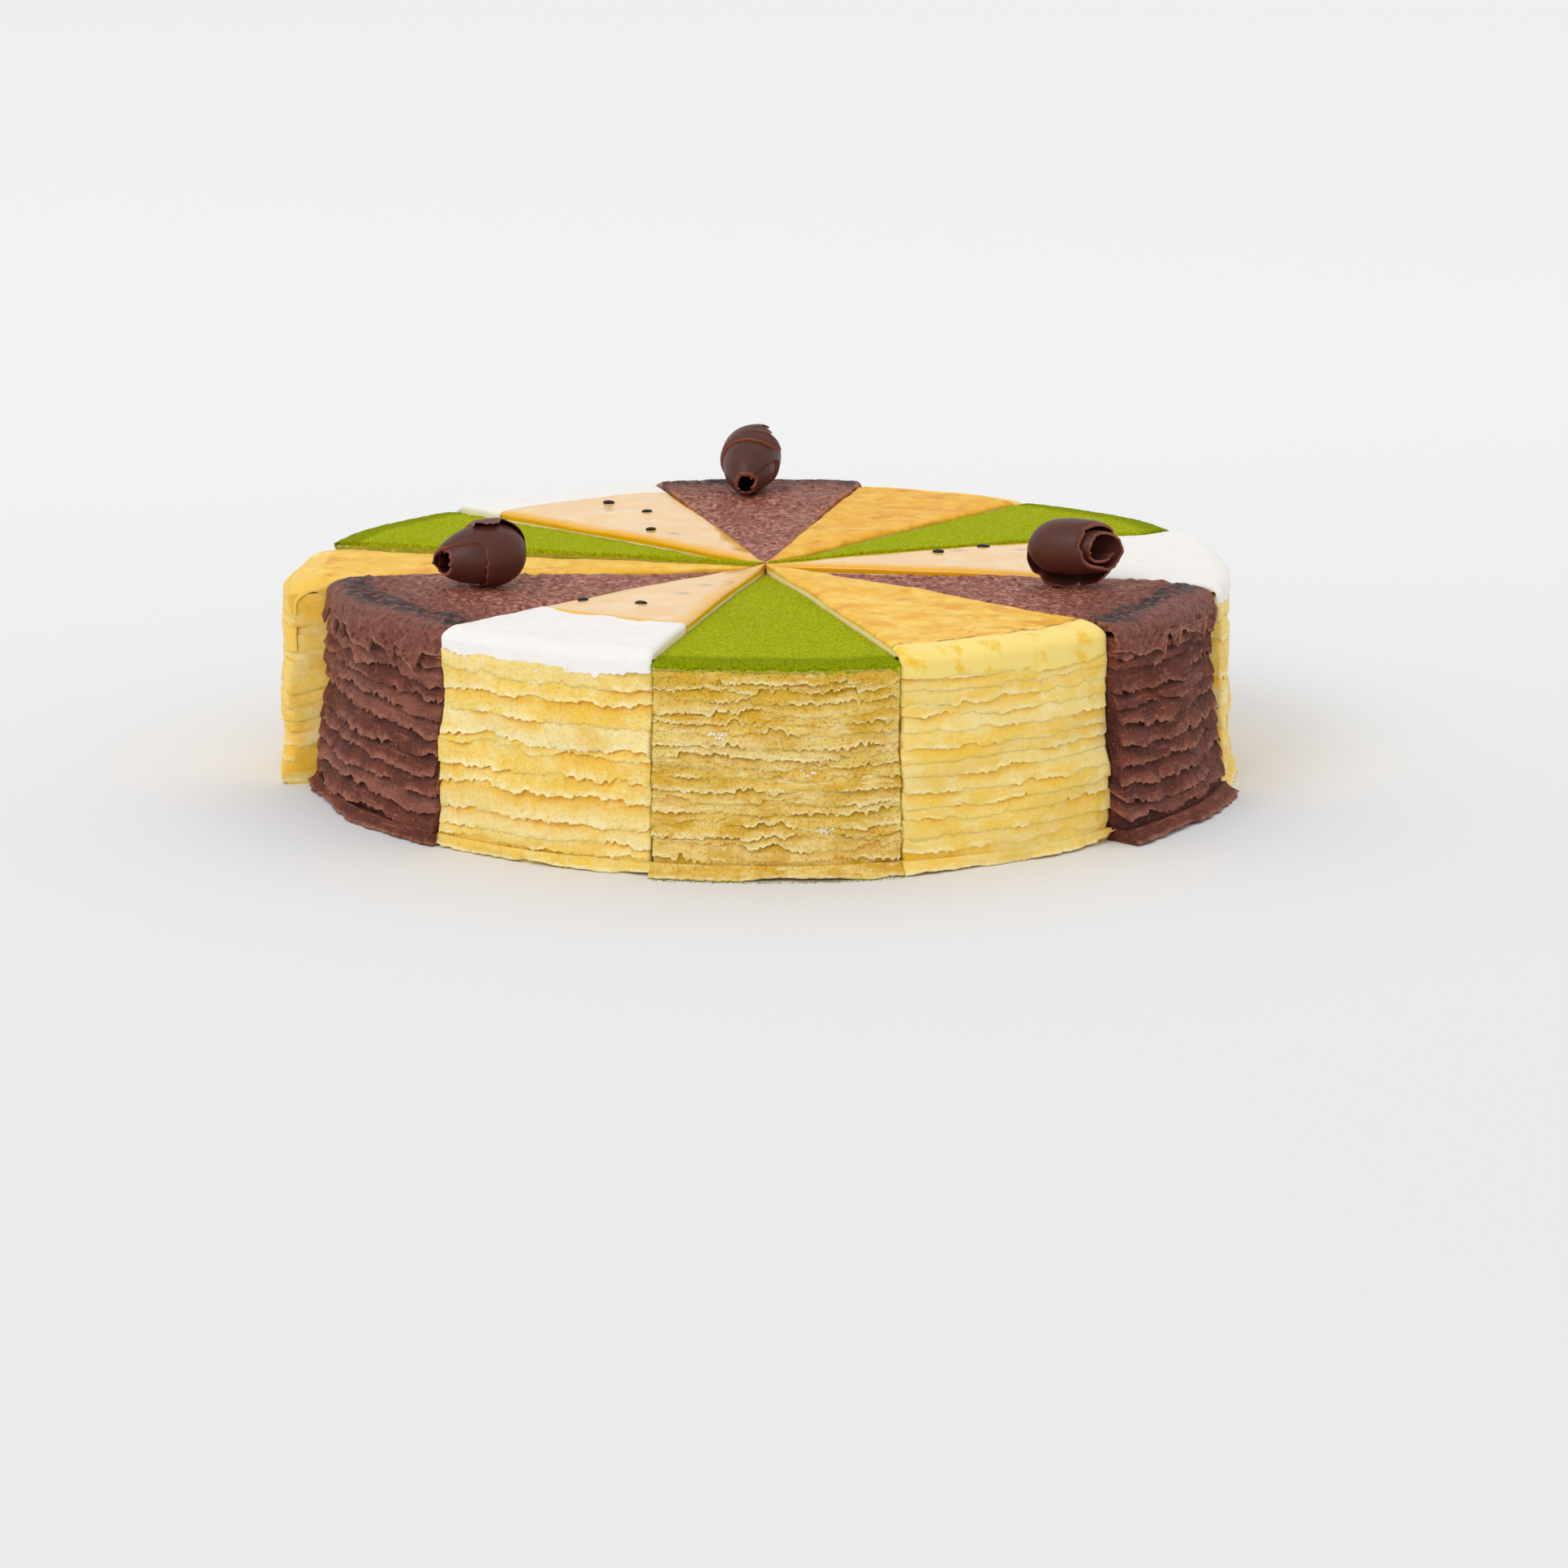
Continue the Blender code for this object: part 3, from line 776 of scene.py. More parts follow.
@dataclass
class Curl:
    """A chocolate shaving rolled into an egg, lying on a chocolate slice.

    Attributes:
        node: The solid that it stands for.
        edge_at: Bearing of the sheet's free edge round the roll, in degrees from straight up.
        turns: How many times the sheet goes round.
        wind: How much smaller each turn is.
        sheet: Thickness of the sheet.
        wrap: Where the outer turn ends along the roll, from -1 at the blunt end to 1 at the open end.
        jag: How ragged the free edge is, in radians.
        lift: How far the free edge stands off.
        slant: How much shorter the roll is on one side of its open end.
        faces: The bearing of that side round the roll, in degrees from straight up.
        mouth: Width of the open end, against the whole width.
        rows: Points round the roll.
        columns: Points along it.
    """

    node: str
    edge_at: float
    turns: float = 2.4
    wind: float = 0.95
    sheet: float = 0.7
    wrap: float = 0.2
    jag: float = 0.45
    lift: float = 0.9
    slant: float = 0.0
    faces: float = 90.0
    mouth: float = 0.46
    rows: int = 120
    columns: int = 56

    def axes(self) -> tuple[Grid, Grid, float, float]:
        """Reads how the roll lies from its solid.

        Returns:
            Its middle, its three axes with the open end first, half its length and half its width.
        """
        corners = vertices_of(self.node)
        spread = corners - corners.mean(axis=0)
        along = np.linalg.eigh(spread.T @ spread)[1][:, -1]
        places = corners @ along
        middle, half = (places.max() + places.min()) / 2, np.ptp(places) / 2
        radial = corners - np.outer(places, along)
        centre = (radial.max(axis=0) + radial.min(axis=0)) / 2
        widths = np.linalg.norm(radial - centre, axis=1)
        ends = [widths[sign * (places - middle) > 0.97 * half].max() for sign in (1, -1)]
        sign = 1.0 if ends[0] > ends[1] else -1.0
        sideways = np.cross((0.0, 0.0, 1.0), sign * along)
        sideways /= np.linalg.norm(sideways)
        axes = np.array([sign * along, sideways, np.cross(sign * along, sideways)])
        return centre + middle * along, axes, half, widths.max()

    def width(self, along: Grid) -> Grid:
        """Width of the egg against its widest place, from -1 at the blunt end to 1 at the open end."""
        waist = -0.22
        blunt = np.clip((waist - along) / (1 + waist), 0, 1)
        narrow = np.clip((along - waist) / (1 - waist), 0, 1)
        return np.sqrt(np.maximum(1 - blunt**2.2, 0.0005)) * (1 - (1 - self.mouth) * narrow**2.6)

    def build(self) -> bpy.types.Object:
        """Builds the rolled sheet as one closed mesh.

        Returns:
            The object, with a mask along the sheet's edges.
        """
        centre, axes, half, girth = self.axes()
        seed = 700 + len(self.node) + int(self.edge_at)
        turn = np.linspace(0, self.turns * math.tau, self.rows)[:, None]
        share = (1 - np.cos(np.linspace(0, math.pi, self.columns)))[None, :] / 2
        share = 0.5 * share + 0.5 * np.linspace(0, 1, self.columns)[None, :]
        open_turn = np.clip((turn / math.tau - 0.86) / 0.16, 0, 1)
        open_turn = open_turn * open_turn * (3 - 2 * open_turn)
        edge_line = points_of(6 * np.cos(turn) + turn, 6 * np.sin(turn), 0 * turn)
        last = self.wrap + (0.985 - self.wrap) * open_turn
        last = last + 0.10 * noise(edge_line, 2.6, seed, 3) - 0.12 * np.clip(turn / math.tau - 1.3, 0, 2)
        last = last - self.slant * (0.5 + 0.5 * np.cos(math.radians(self.edge_at - self.faces) - turn))
        along = -1 + (last + 1) * share
        jag = self.jag * 2 * noise(points_of(9 * along, 0.0, 3.0 * seed), (2.4, 1, 1), seed + 1, 3)
        angle = turn + jag * np.clip(1 - turn / 1.4, 0, 1)
        loose = np.clip(1 - turn / 1.1, 0, 1) ** 2
        lumps = points_of(5 * along, 3 * np.cos(angle), 3 * np.sin(angle))
        outer = self.width(along) * girth / MM + 0.22 * noise(lumps, 2.5, seed + 2, 2)
        outer = outer - self.wind * turn / math.tau + self.lift * loose
        outer = outer - 0.5 * np.clip((share - 0.9) / 0.1, 0, 1) ** 2 * (turn < math.tau)
        outer = np.maximum(outer, 0.35 + 0.1 * turn / math.tau)
        thin = np.clip(0.35 + turn / 0.5, 0, 1)
        inner = np.maximum(outer - self.sheet * thin, 0.18)
        bearing = math.radians(self.edge_at) - angle

        def place(width: Grid) -> Grid:
            """Points at this distance from the roll's own middle line, in millimetres."""
            round_it = points_of(along * half, width * np.sin(bearing) * MM, width * np.cos(bearing) * MM)
            return centre + round_it @ axes

        border = np.minimum(np.minimum(turn * 5.0, (1 - share) * 22.0), 3.0) + 0 * along
        skin = Skin()
        mask = {"lip": np.clip(1 - border / 0.9, 0, 1)}
        sheets = [place(width) for width in (outer, inner)]
        gap = min(sheet[..., 2].min() for sheet in sheets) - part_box(self.node)[0].z
        faces = [skin.add_points(sheet - (0.0, 0.0, gap + 0.5 * MM), mask) for sheet in sheets]
        flat = points_of(0.012 * share + 0 * turn, 0.008 * turn + 0 * share)
        for numbers in faces:
            skin.add_quads(numbers, flat)
        for cut in (np.s_[0, :], np.s_[-1, :], np.s_[:, 0], np.s_[:, -1]):
            rim = np.stack((faces[0][cut], faces[1][cut]), axis=1)
            length = np.linspace(0, 0.015, len(rim))[:, None]
            skin.add_quads(rim, points_of(np.array([[0.0, 0.0005]]), length))
        return skin.make(self.node.replace("curl", "shaving"), 50.0)

    def dress(self, piece: bpy.types.Object, finish: bpy.types.Material) -> None:
        """Gives the curl its finish."""
        settle(piece, Slot.DARK, finish, self.node)


@dataclass
class Bits:
    """Small loose things of one kind, such as crumbs or seeds, made as one piece.

    Attributes:
        name: The piece's name.
        size: Their size from the smallest to the largest, in millimetres.
        shape: Length, width and height of one, against its size.
        rough: How uneven they are.
        detail: How finely they are rounded.
        places: Where they lie, in metres.
        turns: How each is turned about +Z, or none for any way.
    """

    name: str
    size: tuple[float, float]
    shape: tuple[float, float, float] = (1.0, 1.0, 1.0)
    rough: float = 0.35
    detail: int = 1
    places: list[Grid] = field(default_factory=list)
    turns: list[float] = field(default_factory=list)

    def build(self) -> bpy.types.Object:
        """Builds them all as one mesh."""
        ball = bmesh.new()
        if self.detail:
            bmesh.ops.create_icosphere(ball, subdivisions=self.detail, radius=0.5)
        else:
            bmesh.ops.create_cone(ball, segments=4, radius1=0.5, radius2=0.0, depth=0.8, cap_ends=True)
            bmesh.ops.triangulate(ball, faces=ball.faces)
        unit = np.array([vert.co for vert in ball.verts])
        sides = np.array([[vert.index for vert in side.verts] for side in ball.faces])
        ball.free()
        random = np.random.default_rng(len(self.places) + len(self.name))
        points, faces = [], []
        for number, place in enumerate(self.places):
            size = random.uniform(*self.size) * MM
            lumpy = unit * (1 + self.rough * random.uniform(-1, 1, (len(unit), 1)))
            tilt = random.uniform(-0.5, 0.5, 2) * (not self.turns)
            turn = self.turns[number] if self.turns else random.uniform(0, math.tau)
            turned = lumpy * self.shape @ np.array(Euler((*tilt, turn)).to_matrix()).T
            points.append(turned * size + place)
            faces += (sides + len(unit) * number).tolist()
        mesh = bpy.data.meshes.new(self.name)
        mesh.from_pydata(np.concatenate(points).tolist(), [], faces)
        if self.detail > 1:
            mesh.shade_smooth()
        piece = bpy.data.objects.new(self.name, mesh)
        bpy.context.scene.collection.objects.link(piece)
        return piece


class Nodes:
    """Writes shader nodes into a tree."""

    def __init__(self, tree: bpy.types.NodeTree) -> None:
        """Takes the tree to write into."""
        self.tree = tree

    def add(self, kind: str, sockets: dict | None = None, **settings: object) -> bpy.types.Node:
        """Adds a node.

        Args:
            kind: Its type, without the ShaderNode that Blender puts before it.
            sockets: Values or other nodes' sockets, by input.
            settings: The node's own settings.

        Returns:
            The node.
        """
        node = self.tree.nodes.new(kind if kind.startswith("Node") else "ShaderNode" + kind)
        for name, value in settings.items():
            setattr(node, name, value)
        for name, value in (sockets or {}).items():
            if isinstance(value, bpy.types.NodeSocket):
                self.tree.links.new(value, node.inputs[name])
            else:
                node.inputs[name].default_value = value
        return node

    def mask(self, name: str) -> bpy.types.NodeSocket:
        """Reads a mask of the mesh."""
        return self.add("Attribute", attribute_name=name).outputs["Fac"]

    def position(self) -> bpy.types.NodeSocket:
        """The point's place in the model."""
        return self.add("TexCoord").outputs["Object"]

    def spread(self, value: bpy.types.NodeSocket, low: float, high: float, to: tuple = (0.0, 1.0)) -> bpy.types.NodeSocket:
        """Turns values from low to high smoothly into others."""
        sockets = {"Value": value, "From Min": low, "From Max": high, "To Min": to[0], "To Max": to[1]}
        return self.add("MapRange", sockets, interpolation_type="SMOOTHSTEP").outputs[0]

    def maths(self, operation: str, first: object, second: object = 0.0) -> bpy.types.NodeSocket:
        """Works out a value from one or two others."""
        return self.add("Math", {0: first, 1: second}, operation=operation).outputs[0]

    def mix(self, share: object, first: object, second: object, blend: str = "MIX") -> bpy.types.NodeSocket:
        """Mixes two colours."""
        sockets = {0: share, 6: first, 7: second}
        return self.add("Mix", sockets, data_type="RGBA", blend_type=blend).outputs[2]

    def group(self, tree: bpy.types.NodeTree, sockets: dict) -> bpy.types.Node:
        """Places a shared effect with its own values."""
        node = self.tree.nodes.new("ShaderNodeGroup")
        node.node_tree = tree
        for name, value in sockets.items():
            if isinstance(value, bpy.types.NodeSocket):
                self.tree.links.new(value, node.inputs[name])
            else:
                node.inputs[name].default_value = value
        return node


class Effects:
    """The shared effects, each a node group that is made once."""

    @staticmethod
    def start(name: str, inputs: dict[str, str], outputs: dict[str, str]) -> tuple[Nodes, bpy.types.Node, bpy.types.Node]:
        """Starts a node group.

        Args:
            name: The group's name.
            inputs: Socket types of its inputs, by name.
            outputs: Socket types of its outputs, by name.

        Returns:
            A writer for the group, its input node and its output node.
        """
        tree = bpy.data.node_groups.new(name, "ShaderNodeTree")
        for sockets, way in ((inputs, "INPUT"), (outputs, "OUTPUT")):
            for socket, kind in sockets.items():
                tree.interface.new_socket(socket, in_out=way, socket_type="NodeSocket" + kind)
        nodes = Nodes(tree)
        return nodes, nodes.add("NodeGroupInput"), nodes.add("NodeGroupOutput")

    @staticmethod
    def mottle() -> bpy.types.NodeTree:
        """Makes the uneven patches that most finishes share.

        Returns:
            A group from a position, a scale and two levels to a mask.
        """
        found = bpy.data.node_groups.get("mottle")
        if found:
            return found
        inputs = {"Position": "Vector", "Scale": "Float", "Low": "Float", "High": "Float"}
        nodes, given, result = Effects.start("mottle", inputs, {"Mask": "Float"})
        sockets = {"Vector": given.outputs["Position"], "Scale": given.outputs["Scale"], "Detail": 4.0, "Roughness": 0.6}
        clouds = nodes.add("TexNoise", sockets)
        limits = {"Value": clouds.outputs[0], "From Min": given.outputs["Low"], "From Max": given.outputs["High"]}
        mask = nodes.add("MapRange", limits, interpolation_type="SMOOTHSTEP")
        nodes.tree.links.new(mask.outputs[0], result.inputs["Mask"])
        return nodes.tree

    @staticmethod
    def crumb() -> bpy.types.NodeTree:
        """Makes the pores and grain of a baked crepe.

        Returns:
            A group from a position and a scale to a mask of the pores and a height.
        """
        found = bpy.data.node_groups.get("crumb")
        if found:
            return found
        outputs = {"Pores": "Float", "Height": "Float"}
        nodes, given, result = Effects.start("crumb", {"Position": "Vector", "Scale": "Float"}, outputs)
        position, scale = given.outputs["Position"], given.outputs["Scale"]
        cells = nodes.add("TexVoronoi", {"Vector": position, "Scale": scale, "Randomness": 1.0})
        fine = nodes.maths("MULTIPLY", scale, 0.8)
        grain = nodes.add("TexNoise", {"Vector": position, "Scale": fine, "Detail": 5.0, "Roughness": 0.75})
        bent = nodes.maths("ADD", cells.outputs["Distance"], nodes.maths("MULTIPLY", grain.outputs[0], 1.3))
        pores = nodes.spread(bent, 1.02, 0.72)
        height = nodes.maths("SUBTRACT", grain.outputs[0], nodes.maths("MULTIPLY", pores, 0.5))
        nodes.tree.links.new(pores, result.inputs["Pores"])
        nodes.tree.links.new(height, result.inputs["Height"])
        return nodes.tree


class Finish:
    """A material being written: its tree, its shader and the parts that most finishes share."""

    def __init__(self, name: str, roughness: float, shine: float = 0.5, glow: float = 0.0) -> None:
        """Starts a material.

        Args:
            name: The material's name.
            roughness: Its roughness.
            shine: Strength of its reflections.
            glow: How much light travels under its surface.
        """
        self.material = bpy.data.materials.new(name)
        self.material.use_nodes = True
        self.nodes = Nodes(self.material.node_tree)
        self.shader = self.material.node_tree.nodes["Principled BSDF"]
        self.shader.inputs["Roughness"].default_value = roughness
        self.shader.inputs["Specular IOR Level"].default_value = shine
        self.shader.inputs["Subsurface Weight"].default_value = glow
        self.shader.inputs["Subsurface Radius"].default_value = (1.0, 0.6, 0.25)
        self.shader.inputs["Subsurface Scale"].default_value = 1.5 * MM
        self.position = self.nodes.position()

    def patches(self, size: float, low: float, high: float) -> bpy.types.NodeSocket:
        """A mask of patches about this many millimetres wide."""
        values = {"Position": self.position, "Scale": 1000 / size, "Low": low, "High": high}
        return self.nodes.group(Effects.mottle(), values).outputs["Mask"]

    def clouds(self, size: float) -> bpy.types.NodeSocket:
        """Soft noise about this many millimetres wide, between -0.5 and 0.5."""
        sockets = {"Vector": self.position, "Scale": 1000 / size, "Detail": 3.0}
        return self.nodes.maths("SUBTRACT", self.nodes.add("TexNoise", sockets).outputs[0], 0.5)

    def strata(self, width: float, height: float) -> bpy.types.NodeSocket:
        """Soft level streaks of this width and height in millimetres, between 0 and 1."""
        flat = self.nodes.add("VectorMath", {0: self.position, 1: (1.0, 1.0, width / height)}, operation="MULTIPLY")
        sockets = {"Vector": flat.outputs[0], "Scale": 1000 / width, "Detail": 4.0, "Roughness": 0.6}
        return self.nodes.add("TexNoise", sockets).outputs[0]

    def crumb(self, size: float) -> tuple[bpy.types.NodeSocket, bpy.types.NodeSocket]:
        """Pores about this many millimetres apart, as a mask and a height."""
        group = self.nodes.group(Effects.crumb(), {"Position": self.position, "Scale": 1000 / size})
        return group.outputs["Pores"], group.outputs["Height"]

    def end(self, colour: bpy.types.NodeSocket, height: bpy.types.NodeSocket, depth: float, strength: float = 0.6) -> bpy.types.Material:
        """Joins the colour and the relief to the shader.

        Args:
            colour: The colour.
            height: The relief.
            depth: Depth of the relief in millimetres.
            strength: How strongly it shows.

        Returns:
            The material.
        """
        sockets = {"Height": height, "Distance": depth * MM, "Strength": strength}
        bump = self.nodes.add("Bump", sockets)
        self.nodes.tree.links.new(bump.outputs[0], self.shader.inputs["Normal"])
        self.nodes.tree.links.new(colour, self.shader.inputs["Base Color"])
        return self.material


@dataclass(frozen=True)
class CrepeFinish:
    """The side of a stack of crepes.

    Attributes:
        name: The material's name.
        face: Colour of most of a crepe.
        patch: Colour of its darker patches.
        light: Colour of the thin lips, partly their own paler edge and partly painted light shining through them.
        deep: Colour of the painted shade where a crepe comes out from under the one above.
        stain: Colour of the broad stains.
        fleck: Colour of the small flecks.
        stain_share: How much of the side the stains take, from 0 to 1.
        pore: Distance between pores, in millimetres.
        pore_share: How dark the pores are.
        roughness: Roughness.
        relief: Depth of the grain, in millimetres.
        high_stain: How much more the upper crepes are stained.
        glow: How much light travels through the crepes.
        layer: Height of the streaks that show single crepes, in millimetres.
        streaks: How strong those streaks are.
        dust: Colour of the powder that has fallen on the side.
        dusted: How thick that powder lies.
    """

    name: str
    face: Colour
    patch: Colour
    light: Colour
    deep: Colour
    stain: Colour
    fleck: Colour
    stain_share: float = 0.4
    pore: float = 0.8
    pore_share: float = 0.5
    roughness: float = 0.65
    relief: float = 0.25
    high_stain: float = 0.0
    glow: float = 0.3
    layer: float = 0.9
    streaks: float = 1.0
    dust: Colour = display(150, 165, 20)
    dusted: float = 0.0

    def fallen(self, finish: Finish, height: bpy.types.NodeSocket) -> bpy.types.NodeSocket:
        """Masks the powder under the top border, down the corners and at the foot."""
        nodes = finish.nodes
        ends = nodes.maths("ABSOLUTE", nodes.maths("SUBTRACT", nodes.mask("along"), 0.5))
        places = nodes.maths("MAXIMUM", nodes.spread(height, 0.0462, 0.0500), nodes.spread(height, 0.0012, 0.0000))
        places = nodes.maths("MAXIMUM", places, nodes.maths("MULTIPLY", nodes.spread(ends, 0.475, 0.5), 0.8))
        spread = nodes.maths("ADD", places, nodes.maths("MULTIPLY", finish.clouds(1.4), 1.5))
        return nodes.maths("MULTIPLY", nodes.spread(spread, 0.62, 0.95), self.dusted)

    def make(self) -> bpy.types.Material:
        """Makes the material."""
        finish = Finish(self.name, self.roughness, 0.25, self.glow)
        nodes, lip, tone = finish.nodes, finish.nodes.mask("lip"), finish.nodes.mask("tone")
        level = nodes.add("SeparateXYZ", {0: finish.position}).outputs[2]
        layers = finish.strata(7.0, self.layer)
        colour = nodes.mix(finish.patches(6.0, 0.40, 0.62), self.face, self.patch)
        colour = nodes.mix(nodes.maths("MULTIPLY", nodes.spread(tone, 0.0, 1.0), 0.45), colour, self.light)
        colour = nodes.mix(nodes.maths("MULTIPLY", nodes.spread(layers, 0.47, 0.36), 0.6 * self.streaks), colour, self.patch)
        colour = nodes.mix(nodes.maths("MULTIPLY", nodes.spread(layers, 0.54, 0.66), 0.75 * self.streaks), colour, self.light)
        stain = nodes.maths("MULTIPLY", finish.patches(14.0, 0.48, 0.62), self.stain_share)
        high = nodes.maths("MULTIPLY", nodes.spread(level, 0.034, 0.045), finish.patches(9.0, 0.34, 0.58))
        stain = nodes.maths("MAXIMUM", stain, nodes.maths("MULTIPLY", high, self.high_stain))
        colour = nodes.mix(stain, colour, self.stain)
        # Partly painted light: the thin lips are lightened as if light shone through them, besides their own paler
        # edge.
        pale_lip_and_glow = nodes.maths("MULTIPLY", nodes.spread(lip, 0.60, 1.0), 0.85)
        colour = nodes.mix(nodes.maths("MULTIPLY", pale_lip_and_glow, finish.patches(2.4, 0.28, 0.60)), colour, self.light)
        # Painted shade: the deep colour is laid just under each standing lip, warmed as by light bounced under the lip.
        shade = nodes.maths("MULTIPLY", nodes.spread(nodes.mask("root"), 0.1, 0.9), finish.patches(5.0, 0.24, 0.54))
        colour = nodes.mix(shade, colour, self.deep)
        pores, height = finish.crumb(self.pore)
        colour = nodes.mix(nodes.maths("MULTIPLY", pores, self.pore_share), colour, self.patch, "MULTIPLY")
        colour = nodes.mix(nodes.maths("MULTIPLY", finish.patches(0.9, 0.60, 0.70), 0.6), colour, self.fleck)
        if self.dusted:
            colour = nodes.mix(self.fallen(finish, level), colour, self.dust)
        height = nodes.maths("ADD", height, nodes.maths("MULTIPLY", layers, 1.4))
        return finish.end(colour, height, self.relief)


@dataclass(frozen=True)
class PowderFinish:
    """Fine matcha powder, sifted over the top crepe."""

    name: str = "matcha powder"
    powder: Colour = display(188, 200, 4)
    light: Colour = display(212, 222, 50)
    dark: Colour = display(120, 136, 0)
    # Darker green for the painted shade over the rounded rim.
    rim: Colour = display(166, 178, 4)
    crepe: Colour = display(216, 196, 92)

    def make(self) -> bpy.types.Material:
        """Makes the material."""
        finish = Finish(self.name, 0.95, 0.05)
        nodes = finish.nodes
        colour = nodes.mix(finish.patches(0.8, 0.44, 0.64), self.powder, self.light)
        # Painted shade: the powder turns a darker green over the rounded rim, where the top curves down; its dark
        # grains also grow denser there.
        rim_shade_mask = nodes.spread(nodes.mask("rim"), 2.5, -2.0)
        colour = nodes.mix(rim_shade_mask, colour, self.rim)
        grains = nodes.maths("MULTIPLY", finish.patches(0.6, 0.48, 0.60), nodes.spread(rim_shade_mask, 0.0, 1.0, (0.45, 0.9)))
        colour = nodes.mix(grains, colour, self.dark)
        low = nodes.maths("MAXIMUM", nodes.spread(nodes.mask("depth"), 0.4, 2.2), nodes.spread(nodes.mask("lip"), 0.3, 1.1))
        bare = nodes.spread(nodes.maths("ADD", low, nodes.maths("MULTIPLY", finish.clouds(1.0), 1.6)), 0.55, 0.75)
        colour = nodes.mix(bare, colour, self.crepe)
        height = nodes.add("TexNoise", {"Vector": finish.position, "Scale": 1500.0, "Detail": 4.0, "Roughness": 0.8})
        return finish.end(colour, height.outputs[0], 0.9, 1.0)


@dataclass(frozen=True)
class BrownedFinish:
    """The browned top crepe of a plain slice, and its paler edge down the side."""

    name: str = "browned crepe"
    top: Colour = display(241, 184, 52)
    light: Colour = display(249, 205, 94)
    dark: Colour = display(230, 152, 24)
    line: Colour = display(128, 66, 12)
    side: Colour = display(250, 222, 128)
    gold: Colour = display(243, 198, 58)
    cream: Colour = display(254, 240, 196)
    lines: float = 1.0

    def make(self) -> bpy.types.Material:
        """Makes the material."""
        finish = Finish(self.name, 0.5, 0.2, 0.2)
        nodes = finish.nodes
        rim, depth = nodes.mask("rim"), nodes.mask("depth")
        colour = nodes.mix(finish.patches(5.0, 0.36, 0.66), self.top, self.light)
        colour = nodes.mix(nodes.maths("MULTIPLY", finish.patches(9.0, 0.50, 0.66), 0.8), colour, self.dark)
        bent = nodes.maths("ADD", rim, nodes.maths("MULTIPLY", finish.clouds(14.0), 9.0))
        line = nodes.spread(nodes.maths("PINGPONG", bent, 1.9), 0.34, 0.05)
        line = nodes.maths("MULTIPLY", line, finish.patches(8.0, 0.48, 0.60))
        line = nodes.maths("MULTIPLY", line, nodes.spread(rim, 17.0, 4.0))
        line = nodes.maths("MULTIPLY", line, nodes.spread(rim, -1.2, 0.5))
        colour = nodes.mix(nodes.maths("MULTIPLY", line, 0.7 * self.lines), colour, self.line)
        down = nodes.spread(rim, 0.2, -1.6)
        side = nodes.mix(finish.patches(6.0, 0.52, 0.68), self.side, self.gold)
        colour = nodes.mix(down, colour, side)
        bend = nodes.maths("ADD", rim, nodes.maths("MULTIPLY", finish.clouds(5.0), 2.0))
        crease = nodes.spread(nodes.maths("ABSOLUTE", nodes.maths("ADD", bend, 0.4)), 0.75, 0.1)
        crease = nodes.maths("MULTIPLY", crease, finish.patches(4.0, 0.40, 0.58))
        colour = nodes.mix(nodes.maths("MULTIPLY", crease, 0.75 * self.lines), colour, self.line)
        colour = nodes.mix(nodes.spread(depth, 1.3, 1.7), colour, self.cream)
        colour = nodes.mix(nodes.spread(depth, 2.1, 2.5), colour, self.side)
        height = nodes.add("TexNoise", {"Vector": finish.position, "Scale": 700.0, "Detail": 5.0, "Roughness": 0.6})
        return finish.end(colour, height.outputs[0], 0.2, 0.5)


@dataclass(frozen=True)
class CocoaTopFinish:
    """The leathery top crepe of a chocolate slice, blistered near the rim."""

    name: str = "cocoa crepe top"
    top: Colour = display(148, 80, 62)
    # Partly painted sheen: pinkish light patches for highlights on the bumps.
    light: Colour = display(200, 140, 120)
    # Partly painted shade: darker pores for the pits in shade.
    dark: Colour = display(92, 42, 32)
    fold: Colour = display(192, 124, 84)
    edge: Colour = display(113, 56, 42)
    blister: Colour = display(36, 30, 34)
    lip: Colour = display(178, 122, 102)

    def make(self) -> bpy.types.Material:
        """Makes the material."""
        finish = Finish(self.name, 0.5, 0.3)
        nodes = finish.nodes
        rim, lip = nodes.mask("rim"), nodes.mask("lip")
        # Partly painted sheen: pinkish light patches stand for highlights on the glossy bumps, over the crepe's own
        # mottle.
        colour = nodes.mix(finish.patches(1.6, 0.46, 0.64), self.top, self.light)
        colour = nodes.mix(nodes.maths("MULTIPLY", nodes.spread(rim, 26.0, 2.0), 0.75), colour, self.edge)
        pores, bumps = finish.crumb(1.7)
        # Partly painted shade: the pores are darkened as pits in shade, besides their own colour.
        colour = nodes.mix(nodes.maths("MULTIPLY", pores, 0.6), colour, self.dark)
        bent = nodes.maths("ADD", nodes.maths("SUBTRACT", rim, 1.0), nodes.maths("MULTIPLY", finish.clouds(24.0), 14.0))
        band = nodes.spread(nodes.maths("ABSOLUTE", bent), 4.6, 2.0)
        band = nodes.maths("MULTIPLY", band, finish.patches(1.8, 0.40, 0.50))
        colour = nodes.mix(nodes.maths("MULTIPLY", band, 0.9), colour, self.blister)
        fold = nodes.maths("MULTIPLY", nodes.spread(nodes.mask("cut"), 0.9, 0.2), finish.patches(5.0, 0.46, 0.58))
        colour = nodes.mix(nodes.maths("MULTIPLY", fold, 0.8), colour, self.fold)
        colour = nodes.mix(nodes.maths("MULTIPLY", nodes.spread(lip, 0.5, 1.0), 0.7), colour, self.lip)
        return finish.end(colour, bumps, 0.9, 0.9)


